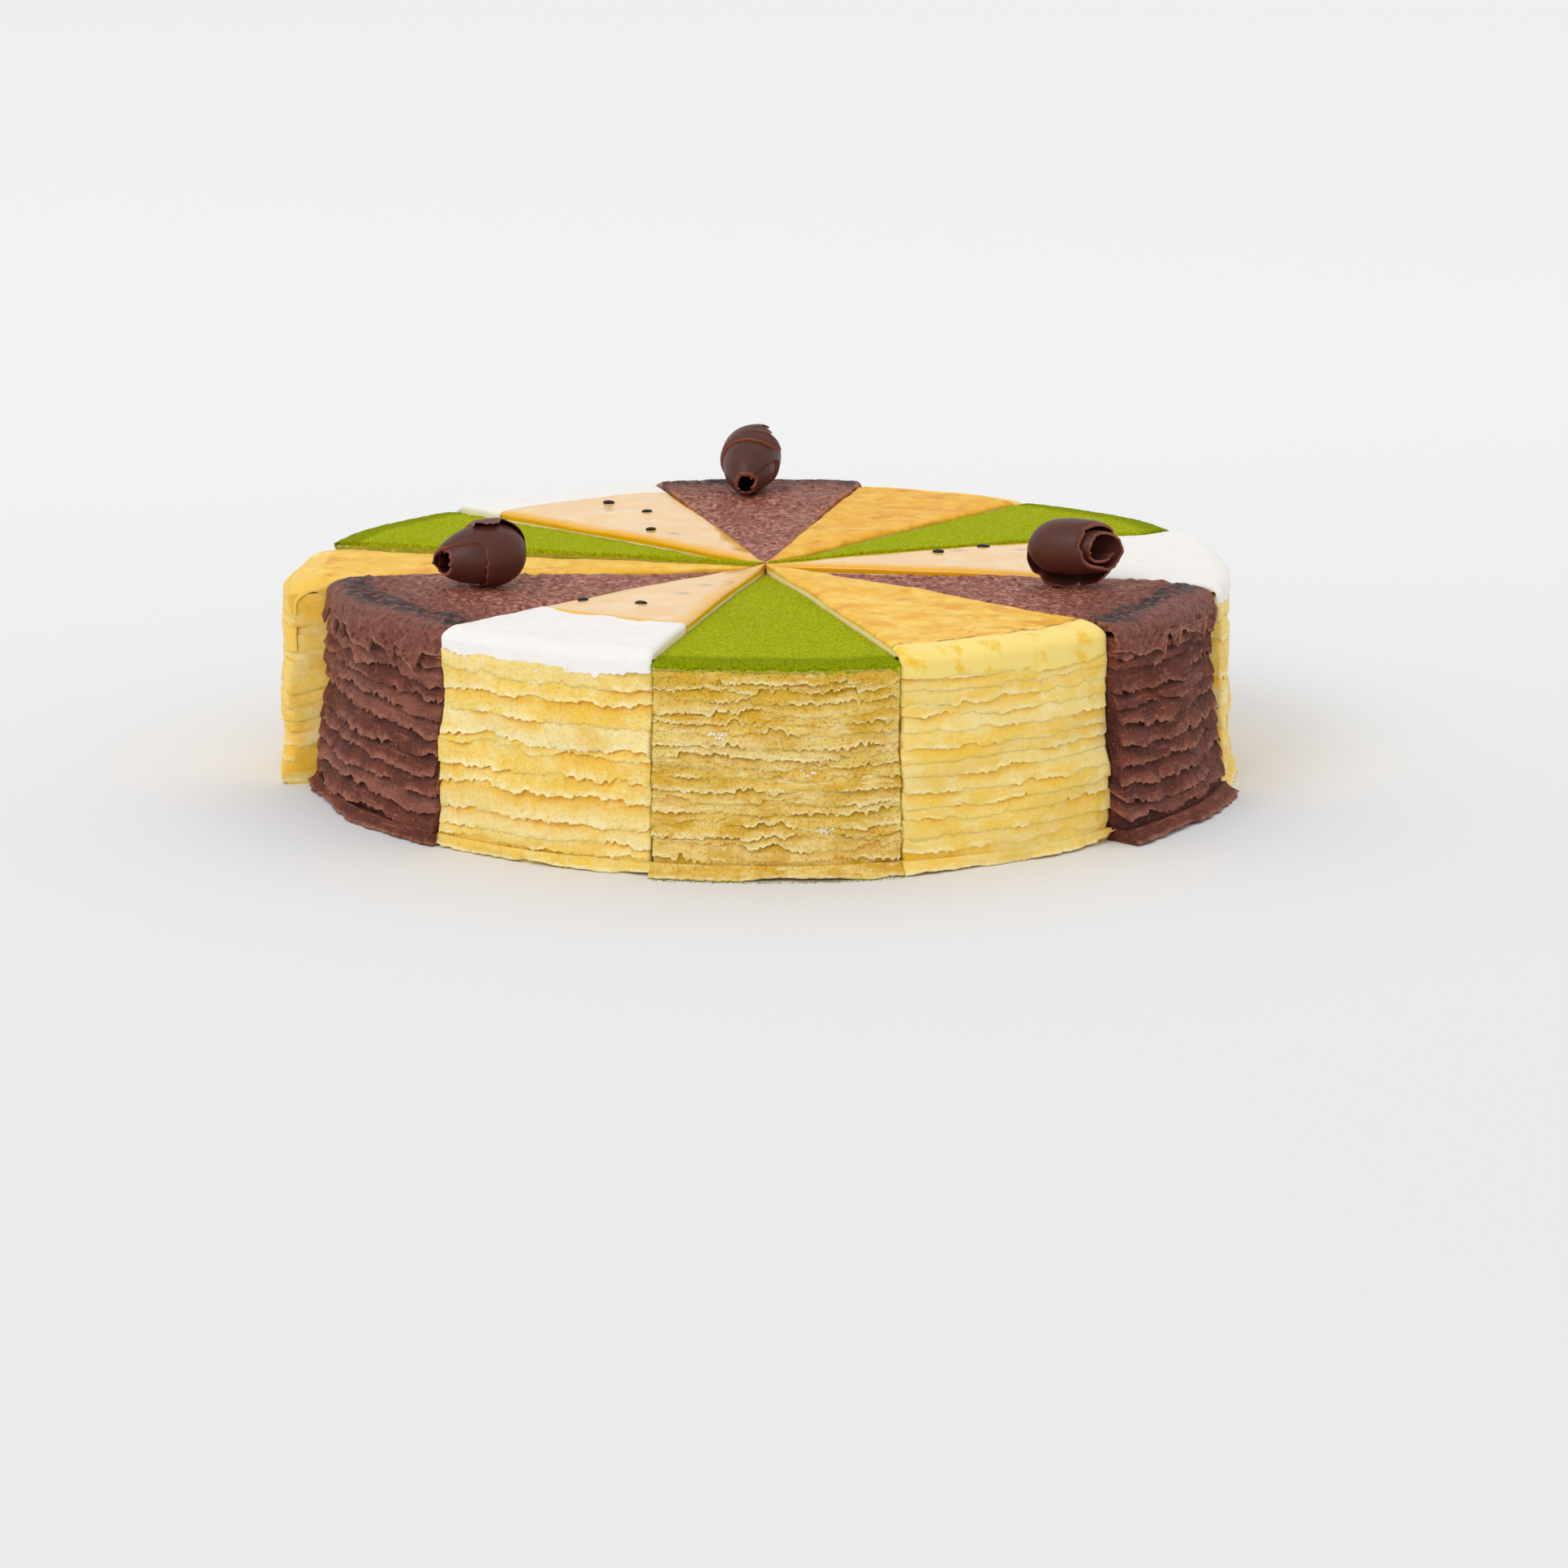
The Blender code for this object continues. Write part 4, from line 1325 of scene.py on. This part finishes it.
@dataclass(frozen=True)
class JellyFinish:
    """Passion fruit jelly, peach coloured and deep yellow where it is thick."""

    name: str = "passion fruit jelly"
    jelly: Colour = display(245, 194, 118)
    pale: Colour = display(248, 210, 148)
    thick: Colour = display(241, 178, 12)
    cream: Colour = display(254, 238, 190)
    crepe: Colour = display(244, 212, 120)
    shadow: Colour = display(120, 112, 118)

    def make(self) -> bpy.types.Material:
        """Makes the material."""
        finish = Finish(self.name, 0.14, 0.5, 0.2)
        nodes = finish.nodes
        depth, cut, rim = nodes.mask("depth"), nodes.mask("cut"), nodes.mask("rim")
        colour = nodes.mix(finish.patches(8.0, 0.40, 0.66), self.jelly, self.pale)
        near = nodes.maths("ADD", cut, nodes.maths("MULTIPLY", finish.clouds(5.0), 4.0))
        edge = nodes.maths("MAXIMUM", nodes.spread(near, 4.4, 1.6), nodes.spread(rim, 2.4, 0.2))
        streak = nodes.maths("MULTIPLY", finish.patches(4.0, 0.58, 0.66), nodes.spread(cut, 14.0, 5.0, (0.3, 1.0)))
        colour = nodes.mix(nodes.maths("MAXIMUM", nodes.maths("MULTIPLY", edge, 0.85), streak), colour, self.thick)
        colour = nodes.mix(nodes.spread(depth, 0.2, 0.8), colour, self.thick)
        colour = nodes.mix(nodes.spread(depth, 1.9, 2.2), colour, self.cream)
        colour = nodes.mix(nodes.spread(depth, 2.8, 3.2), colour, self.crepe)
        colour = nodes.mix(nodes.maths("MULTIPLY", nodes.mask("sunk"), 0.8), colour, self.shadow)
        height = nodes.add("TexNoise", {"Vector": finish.position, "Scale": 260.0, "Detail": 2.0})
        return finish.end(colour, height.outputs[0], 0.25, 0.25)


@dataclass(frozen=True)
class PlainFinish:
    """A finish of two colours with a third on its edges.

    Attributes:
        name: The material's name.
        face: Main colour.
        patch: Colour of the patches.
        edge: Colour of the edges.
        mask: The mask that says where the edges are.
        edge_from: The mask's value where the edge colour begins.
        edge_full: The mask's value where it is full.
        size: Width of the patches, in millimetres.
        roughness: Roughness.
        relief: Depth of the grain, in millimetres.
        grain: Width of the grain, in millimetres.
        shine: Strength of its reflections.
    """

    name: str
    face: Colour
    patch: Colour
    edge: Colour
    mask: str
    edge_from: float
    edge_full: float
    size: float
    roughness: float
    relief: float
    grain: float
    shine: float = 0.3

    def make(self) -> bpy.types.Material:
        """Makes the material."""
        finish = Finish(self.name, self.roughness, self.shine)
        nodes = finish.nodes
        colour = nodes.mix(finish.patches(self.size, 0.42, 0.70), self.face, self.patch)
        edge = nodes.spread(nodes.mask(self.mask), self.edge_from, self.edge_full)
        colour = nodes.mix(edge, colour, self.edge)
        sockets = {"Vector": finish.position, "Scale": 1000 / self.grain, "Detail": 4.0, "Roughness": 0.65}
        return finish.end(colour, nodes.add("TexNoise", sockets).outputs[0], self.relief)


class Studio:
    """The floor, the lights and the camera."""

    @staticmethod
    def floor() -> None:
        """Lays a plain pale floor under the cake, with painted shade that darkens it towards the front."""
        half = 6.0
        mesh = bpy.data.meshes.new("floor")
        corners = [(-half, -half, 0), (half, -half, 0), (half, half, 0), (-half, half, 0)]
        mesh.from_pydata(corners, [], [(0, 1, 2, 3)])
        finish = Finish("studio floor", 0.9, 0.1)
        back = finish.nodes.add("SeparateXYZ", {0: finish.position}).outputs[1]
        # Painted shade: the floor's colour darkens from the back towards the front.
        colour = finish.nodes.mix(finish.nodes.spread(back, -0.45, 0.7), display(230, 230, 232), display(241, 241, 241))
        finish.nodes.tree.links.new(colour, finish.shader.inputs["Base Color"])
        mesh.materials.append(finish.material)
        floor = bpy.data.objects.new("floor", mesh)
        bpy.context.scene.collection.objects.link(floor)

    @staticmethod
    def lamp(name: str, place: tuple, size: float, power: float) -> None:
        """Hangs a soft square lamp that points at the cake.

        Args:
            name: The lamp's name.
            place: Where it hangs.
            size: Its side in metres.
            power: Its power in watts.
        """
        light = bpy.data.lights.new(name, "AREA")
        light.shape = "SQUARE"
        light.size = size
        light.energy = power
        lamp = bpy.data.objects.new(name, light)
        lamp.location = place
        lamp.rotation_euler = (Vector((0, 0, 0.03)) - Vector(place)).to_track_quat("-Z", "Y").to_euler()
        bpy.context.scene.collection.objects.link(lamp)

    @staticmethod
    def sky() -> None:
        """Surrounds the cake with even, nearly white light."""
        world = bpy.data.worlds.new("studio light")
        world.use_nodes = True
        background = world.node_tree.nodes["Background"]
        background.inputs["Color"].default_value = (1.0, 1.0, 1.0, 1.0)
        background.inputs["Strength"].default_value = 0.86
        bpy.context.scene.world = world
        bpy.context.scene.view_settings.view_transform = "Standard"

    @staticmethod
    def camera() -> None:
        """Stands the camera in front of the cake, a little above it."""
        lens = bpy.data.cameras.new("camera")
        lens.lens = 113.96
        lens.sensor_width = 36.0
        camera = bpy.data.objects.new("camera", lens)
        camera.location = (0.004724, -1.23215, 0.29902)
        camera.rotation_euler = (math.radians(90 - 13.865), 0.0, 0.0)
        bpy.context.scene.collection.objects.link(camera)
        bpy.context.scene.camera = camera

    def build(self) -> None:
        """Sets up the whole studio."""
        self.floor()
        self.lamp("key lamp", (-2.4, -3.4, 3.6), 2.4, 70.0)
        self.lamp("back lamp", (1.6, 3.8, 4.2), 2.4, 16.0)
        self.sky()
        self.camera()


def powder_relief(points: Grid, rim: Grid, cut: Grid) -> Grid:
    """Grains and shallow drifts of powder."""
    grains = 0.26 * noise(points, 0.9, 11, 2) + 0.18 * noise(points, 2.4, 12, 2)
    return grains + 0.25 * noise(points, 14.0, 13, 2)


def browned_relief(points: Grid, rim: Grid, cut: Grid) -> Grid:
    """Fine wrinkles, lying along the rim near it."""
    wrinkles = 1 - 2 * abs(noise(points_of(points[..., 0], points[..., 1], rim), (9.0, 9.0, 1.5), 21, 2))
    near = np.clip(1 - rim / 22.0, 0, 1) * np.clip(1 + rim / 1.5, 0, 1)
    broad = 0.5 * noise(points, 13.0, 22, 2) + 0.22 * noise(points, 3.2, 23, 3)
    return broad + 0.22 * near * wrinkles


def cocoa_relief(points: Grid, rim: Grid, cut: Grid) -> Grid:
    """Small bumps all over, and larger blisters in a band near the rim."""
    bumps = 1.2 * (0.3 - abs(noise(points, 3.0, 31, 3))) + 0.3 * noise(points, 1.2, 32, 2)
    band = np.clip(1 - abs(rim - 4.0) / 7.0, 0, 1)
    calm = np.clip(1 + rim / 4.0, 0.25, 1)
    return calm * (bumps + 0.6 * band * noise(points, 2.2, 34, 2)) + 0.35 * noise(points, 12.0, 33, 2)


def jelly_relief(points: Grid, rim: Grid, cut: Grid) -> Grid:
    """A smooth surface that swells and sinks a little."""
    return 0.35 * noise(points, 12.0, 41, 2) - 0.3 * np.clip(1 - cut / 5.0, 0, 1) ** 2


def cream_relief(points: Grid, rim: Grid, cut: Grid) -> Grid:
    """Spread cream: soft strokes and small bumps."""
    strokes = 0.45 * noise(points, (9.0, 9.0, 4.0), 51, 2)
    return strokes + 0.14 * noise(points, 1.8, 52, 3)


STACKS = {
    "matcha": StackStyle(
        lips=(46.4, 44.0, 41.6, 39.2, 36.6, 34.2, 31.4, 29.0, 26.4, 23.6, 21.2, 18.4, 15.8, 13.0, 10.2, 7.4, 4.8),
        stand=0.75,
        thick=0.26,
        hang=0.5,
        wave=0.55,
        teeth=0.5,
        tooth=1.3,
        tear=1.1,
        flare=0.45,
        fibre=0.12,
        pleat=0.2,
        dent=0.3,
        corner=0.5,
        merge=0.75,
        face=(0.0, 0.2, 0.5, 0.8, 1.0),
        step=0.34,
    ),
    "plain": StackStyle(
        lips=(46.2, 42.8, 39.7, 36.4, 33.0, 30.0, 26.4, 22.8, 19.4, 15.8, 12.2, 8.6, 5.2),
        stand=0.5,
        thick=0.24,
        hang=0.45,
        wave=0.5,
        teeth=0.3,
        tooth=2.2,
        tear=0.7,
        flare=0.25,
        fibre=0.07,
        pleat=0.15,
        dent=0.5,
        corner=1.6,
        merge=0.95,
        bias=0.35,
    ),
    "chocolate": StackStyle(
        lips=(44.6, 40.2, 36.0, 31.6, 27.2, 22.6, 18.2, 13.6, 9.2, 4.8),
        stand=1.3,
        thick=0.24,
        hang=0.8,
        wave=0.9,
        teeth=0.45,
        tooth=2.6,
        tear=0.8,
        flare=0.6,
        fibre=0.14,
        pleat=0.25,
        dent=0.6,
        corner=0.8,
        merge=0.35,
        bias=0.8,
        face=(0.0, 0.1, 0.28, 0.5, 0.72, 0.9, 1.0),
    ),
    "passion": StackStyle(
        lips=(43.8, 39.4, 34.6, 28.6, 26.2, 21.8, 16.9, 10.8, 6.0, 3.6),
        stand=0.9,
        thick=0.28,
        hang=0.6,
        wave=0.6,
        teeth=0.4,
        tooth=2.2,
        tear=0.8,
        flare=0.35,
        fibre=0.12,
        pleat=0.2,
        dent=0.8,
        corner=0.7,
        merge=1.0,
        bias=0.1,
        strong=(1, 3, 6),
        step=0.34,
    ),
}
# Each deep colour below is painted shade under the lips.
STACK_FINISHES = {
    # Each light colour below is partly painted light shining through the thin lips.
    "matcha": CrepeFinish(
        "matcha crepe",
        face=display(238, 206, 112),
        patch=display(222, 174, 56),
        light=display(250, 232, 176),
        deep=display(206, 164, 26),
        stain=display(218, 178, 40),
        fleck=display(236, 168, 60),
        stain_share=0.5,
        pore=0.75,
        pore_share=0.55,
        relief=0.4,
        high_stain=0.7,
        dusted=0.85,
    ),
    "plain": CrepeFinish(
        "plain crepe",
        face=display(246, 216, 128),
        patch=display(244, 206, 94),
        light=display(252, 236, 180),
        deep=display(240, 190, 54),
        stain=display(244, 202, 76),
        streaks=0.6,
        fleck=display(250, 234, 186),
        stain_share=0.6,
        pore=1.3,
        pore_share=0.1,
        roughness=0.5,
        relief=0.2,
        layer=1.4,
    ),
    "chocolate": CrepeFinish(
        "cocoa crepe",
        face=display(124, 62, 46),
        patch=display(98, 46, 34),
        light=display(172, 112, 92),
        deep=display(66, 29, 20),
        streaks=0.6,
        stain=display(84, 42, 32),
        fleck=display(172, 118, 98),
        stain_share=0.5,
        pore=0.7,
        pore_share=0.45,
        roughness=0.7,
        relief=0.45,
        glow=0.0,
    ),
    "passion": CrepeFinish(
        "passion crepe",
        face=display(248, 218, 130),
        patch=display(246, 208, 96),
        light=display(254, 240, 190),
        streaks=0.45,
        deep=display(243, 190, 58),
        stain=display(244, 201, 78),
        fleck=display(252, 238, 196),
        stain_share=0.6,
        pore=0.9,
        pore_share=0.2,
        roughness=0.6,
        relief=0.35,
        layer=1.6,
    ),
}
STACK_FINISHES["draped"] = replace(
    STACK_FINISHES["plain"],
    name="draped crepe side",
    stain=display(241, 188, 56),
    stain_share=0.7,
    high_stain=0.9,
)
UNDER_LIDS = {
    "matcha": (1.2, 1.7, 0.4, 0.15),
    "plain": (3.6, 7.4, 0.7, 0.5),
    "chocolate": (3.6, 7.6, 0.9, 0.9),
    "passion": (3.6, 5.6, 1.4, 0.9),
}
STAND_OUT = {"plain_3": 3.0}
TILTS = {"matcha_2": -0.9, "matcha_3": 1.1}
STACK_SLOTS = {"matcha": Slot.MATCHA, "plain": Slot.PLAIN, "chocolate": Slot.COCOA, "passion": Slot.PLAIN}


SEEDS = (
    (62.6, -118.5, "passion_3"),
    (67.2, -131.0, "passion_3"),
    (85.8, 119.4, "passion_2"),
    (69.6, 117.0, "passion_2"),
    (47.6, 128.9, "passion_2"),
    (58.0, 16.0, "passion_1"),
    (45.0, 12.0, "passion_1"),
)
SUNK_SEEDS = ((47.3, -114.9), (35.2, -114.3), (40.4, 126.2), (50.5, 13.5), (66.5, 11.0))


@dataclass
class Cake:
    """The whole cake: its slices in order round it, and what lies on them.

    Attributes:
        flavours: The order of the flavours.
        rounds: How many times that order is repeated.
        finishes: The materials that the slices share.
        sides: Each slice's stack, by the slice's name.
    """

    flavours: tuple[str, ...] = ("matcha", "plain", "chocolate", "passion")
    rounds: int = 3
    finishes: dict[str, bpy.types.Material] = field(default_factory=dict)
    sides: dict[str, bpy.types.Object] = field(default_factory=dict)

    def make_finishes(self) -> None:
        """Makes the materials."""
        for flavour, finish in STACK_FINISHES.items():
            self.finishes[flavour] = finish.make()
        self.finishes["powder"] = PowderFinish().make()
        self.finishes["browned"] = BrownedFinish().make()
        self.finishes["browned back"] = BrownedFinish(
            "browned crepe, darker",
            top=display(236, 170, 30),
            light=display(244, 192, 70),
            dark=display(222, 140, 10),
            lines=0.0,
        ).make()
        self.finishes["browned drape"] = BrownedFinish(
            "browned crepe drape", side=display(245, 200, 84), gold=display(250, 222, 144), cream=display(246, 204, 96), lines=0.0
        ).make()
        self.finishes["cocoa top"] = CocoaTopFinish().make()
        self.finishes["jelly"] = JellyFinish().make()
        self.finishes["cream"] = PlainFinish(
            "whipped cream", display(243, 240, 236), display(240, 236, 230), display(250, 234, 190), "depth", 0.9, 2.2, 5.0, 0.75, 0.2, 1.1
        ).make()
        self.finishes["dark"] = PlainFinish(
            "dark chocolate", display(84, 44, 34), display(74, 38, 29), display(132, 72, 54), "lip", 0.2, 1.0, 6.0, 0.42, 0.08, 1.6
        ).make()
        self.finishes["flake"] = PlainFinish(
            "browned flakes", display(204, 140, 74), display(176, 104, 46), display(204, 140, 74), "lip", 0.2, 1.0, 1.5, 0.8, 0.2, 0.5
        ).make()
        self.finishes["crumb"] = PlainFinish(
            "crepe crumbs", display(246, 226, 164), display(240, 208, 126), display(246, 226, 164), "lip", 0.2, 1.0, 1.5, 0.8, 0.2, 0.5
        ).make()
        self.finishes["seed"] = PlainFinish(
            "fruit seed", display(24, 20, 22), display(34, 28, 30), display(24, 20, 22), "lip", 0.2, 1.0, 1.5, 0.22, 0.1, 0.6
        ).make()

    def build_slice(self, wedge: Wedge, flavour: str) -> None:
        """Builds and dresses one slice.

        Args:
            wedge: Where it stands.
            flavour: Its flavour.
        """
        slot = STACK_SLOTS[flavour]
        tilt = TILTS.get(wedge.name, 0.0)
        wedge = replace(wedge, sides=wedge.sides + STAND_OUT.get(wedge.name, 0.0) * MM)
        under, cover, tuck, slack = UNDER_LIDS[flavour]
        style, side = STACKS[flavour], self.finishes[flavour]
        if wedge.name == "plain_3":
            style, side, tuck = replace(style, corner=5.0), self.finishes["draped"], 0.2
        stack = CrepeStack(wedge, style, under, tilt, cover, tuck, slack)
        self.sides[wedge.name] = stack.build()
        stack.dress(self.sides[wedge.name], slot, side)
        base = BottomCrepe(wedge, corner_lift=2.4 if wedge.name == "plain_1" else 0.3)
        base.dress(base.build(), slot, self.finishes[flavour])
        if flavour == "matcha":
            lid = Lid(wedge, "powder", rim=7.0, hang=1.8, teeth=0.3, tooth=2.2, wave=0.25, wall=0.2, relief=powder_relief, tilt=tilt)
            lid.rim_drop, lid.proud, lid.cut_round, lid.cut_drop, lid.columns, lid.rows = 1.0, 0.05, 0.4, 0.3, 64, 64
            lid.dress(lid.build(), Slot.POWDER, self.finishes["powder"], "powdered_top")
        elif flavour == "plain":
            lid = Lid(wedge, "browned_skin", rim=8.0, hang=7.4, teeth=0.45, tooth=3.4, wave=0.8, wall=0.25, relief=browned_relief)
            lid.rim_drop, lid.proud, lid.cut_round, lid.cut_drop = 3.6, 0.0, 2.4, 1.2
            if wedge.name == "plain_3":
                lid.rim, lid.rim_drop, lid.hang, lid.wave, lid.teeth, lid.tear = 10.0, 7.0, 17.0, 1.6, 1.0, 1.2
                lid.cut_round, lid.cut_drop = 5.0, 2.6
            skin = {"plain_2": "browned back", "plain_3": "browned drape"}.get(wedge.name, "browned")
            lid.dress(lid.build(), Slot.BROWNED, self.finishes[skin], "browned_top")
        elif flavour == "chocolate":
            lid = Lid(wedge, "cocoa_skin", rim=7.0, hang=7.8, teeth=0.7, tooth=1.8, wave=0.8, tear=5.0, flare=1.2, relief=cocoa_relief, columns=110)
            lid.rim_drop, lid.wall, lid.sink, lid.sink_reach, lid.cut_round, lid.cut_drop = 3.4, 0.3, 3.4, 90.0, 1.6, 1.0
            if wedge.name == "chocolate_3":
                lid.cut_round, lid.cut_drop = 4.5, 2.4
            lid.dress(lid.build(), Slot.COCOA, self.finishes["cocoa top"], "cocoa_top")
        else:
            border = float(np.hypot(*(vertices_of(f"{wedge.name}_cream_band")[:, :2] - wedge.tip).T).min()) / MM
            jelly = Lid(wedge, "fruit_jelly", end=border + 1.6, rim=0.8, rim_drop=0.8, hang=2.6, relief=jelly_relief, rows=60)
            jelly.teeth, jelly.wave, jelly.cut_round, jelly.cut_drop, jelly.columns = 0.0, 0.0, 1.2, 0.9, 70
            slab = jelly.build()
            shade_seeds(slab)
            jelly.dress(slab, Slot.JELLY, self.finishes["jelly"], "jelly")
            cream = Lid(wedge, "cream", start=border, rim=5.0, hang=5.6, teeth=0.8, tooth=2.4, wave=0.8, relief=cream_relief, rows=44)
            cream.inner_round, cream.cut_round, cream.cut_drop, cream.wall, cream.proud = 1.0, 1.9, 1.4, 0.8, 0.4
            cream.dress(cream.build(), Slot.CREAM, self.finishes["cream"], "cream_band")

    def scatter_bits(self, wedges: dict[str, Wedge]) -> None:
        """Lays the seeds, the dust and the crumbs.

        Args:
            wedges: The slices, by name.
        """
        random = np.random.default_rng(8)
        seeds = Bits("fruit_seeds", (2.9, 3.5), (1.0, 0.6, 0.36), 0.03, 3)
        for reach, bearing, name in SEEDS:
            turn = math.radians(bearing)
            spot = np.array((reach * math.cos(turn), reach * math.sin(turn), wedges[name].top / MM + 0.25))
            seeds.places.append(spot * MM)
            seeds.turns.append(random.uniform(-0.6, 0.6))
        dust = Bits("matcha_dust", (0.18, 0.45), detail=0)
        bits = Bits("cream_bits", (0.3, 0.8), detail=1)
        pale = Bits("crepe_crumbs", (0.2, 0.5), (1.0, 0.8, 0.6), detail=0)
        crumbs = Bits("cocoa_crumbs", (0.2, 0.55), detail=0)
        flakes = Bits("crepe_flakes", (0.6, 1.6), (1.0, 0.7, 0.3), 0.3, detail=1)
        amounts = {"matcha": 420, "plain": 120, "chocolate": 340, "passion": 380}
        bpy.context.view_layer.update()
        for name, wedge in wedges.items():
            flavour = name.split("_")[0]
            amount = amounts[flavour]
            turn = random.uniform(-0.98, 0.98, amount) * wedge.half
            target = crumbs if flavour == "chocolate" else pale
            target.places += self.touch(wedge, turn, random.uniform(2.5, 47.0, amount))
            if flavour == "matcha":
                foot = wedge.foot_line(turn[:260]) / MM - 0.3 + 1.4 * random.uniform(0, 1, 260) ** 3
                dust.places += list(wedge.place(foot * MM, turn[:260], np.full(260, 0.12 * MM)))
                dust.places += self.touch(wedge, turn[260:], 49.0 - 5.0 * random.uniform(0, 1, amount - 260) ** 2)
                for middle, level in ((-0.12, 33.5), (0.07, 25.5), (0.1, 11.5)):
                    near = random.normal(0, 1, (2, 12))
                    bits.places += self.touch(wedge, middle + 0.010 * near[0], level + 0.6 * near[1])
            elif flavour == "chocolate":
                count = 60 if name == "chocolate_3" else 12
                level = random.uniform(45.5, 50.5, count)
                flakes.places += self.touch(wedge, wedge.half * random.uniform(0.94, 1.0, count), level)
        settle(seeds.build(), Slot.JELLY, self.finishes["seed"])
        settle(dust.build(), Slot.POWDER, self.finishes["powder"])
        settle(bits.build(), Slot.CREAM, self.finishes["cream"])
        settle(crumbs.build(), Slot.COCOA, self.finishes["cocoa top"])
        settle(pale.build(), Slot.PLAIN, self.finishes["crumb"])
        settle(flakes.build(), Slot.PLAIN, self.finishes["flake"])

    def touch(self, wedge: Wedge, turns: Grid, levels: Grid) -> list[Grid]:
        """Finds where things thrown level at a slice's side would stick to it.

        Args:
            wedge: The slice.
            turns: Angles from its middle line.
            levels: Heights, in millimetres.

        Returns:
            Points on the side, in metres.
        """
        found = []
        for start, aim in zip(wedge.place(0.15, turns, levels * MM), wedge.place(0.0, turns, levels * MM)):
            hit, place, normal, _ = self.sides[wedge.name].ray_cast(Vector(start), Vector(aim - start).normalized())
            if hit:
                found.append(np.array(place + 0.05 * MM * normal))
        return found

    def build(self) -> None:
        """Builds every slice, then the curls."""
        self.make_finishes()
        wedges: dict[str, Wedge] = {}
        for number in range(1, self.rounds + 1):
            for place, flavour in enumerate(self.flavours):
                seed = (number - 1) * len(self.flavours) + place
                wedge = Wedge.read(f"{flavour}_{number}", seed)
                self.build_slice(wedge, flavour)
                wedges[wedge.name] = wedge
        self.scatter_bits(wedges)
        curls = (
            Curl("chocolate_1_curl", 200.0, 2.2, wrap=0.8, mouth=0.82, wind=2.3, jag=0.5, slant=0.42, faces=-80.0),
            Curl("chocolate_2_curl", 40.0, wrap=0.1, mouth=0.36, jag=0.4, slant=0.1, faces=0.0),
            Curl("chocolate_3_curl", 20.0, wrap=0.2, mouth=0.34, jag=0.16, lift=0.6, slant=0.2, faces=90.0),
        )
        for curl in curls:
            curl.dress(curl.build(), self.finishes["dark"])


def main() -> None:
    """Builds the studio and the cake."""
    logging.basicConfig(level=logging.INFO, format="%(message)s")
    Studio().build()
    Cake().build()


if __name__ == "__main__":
    main()
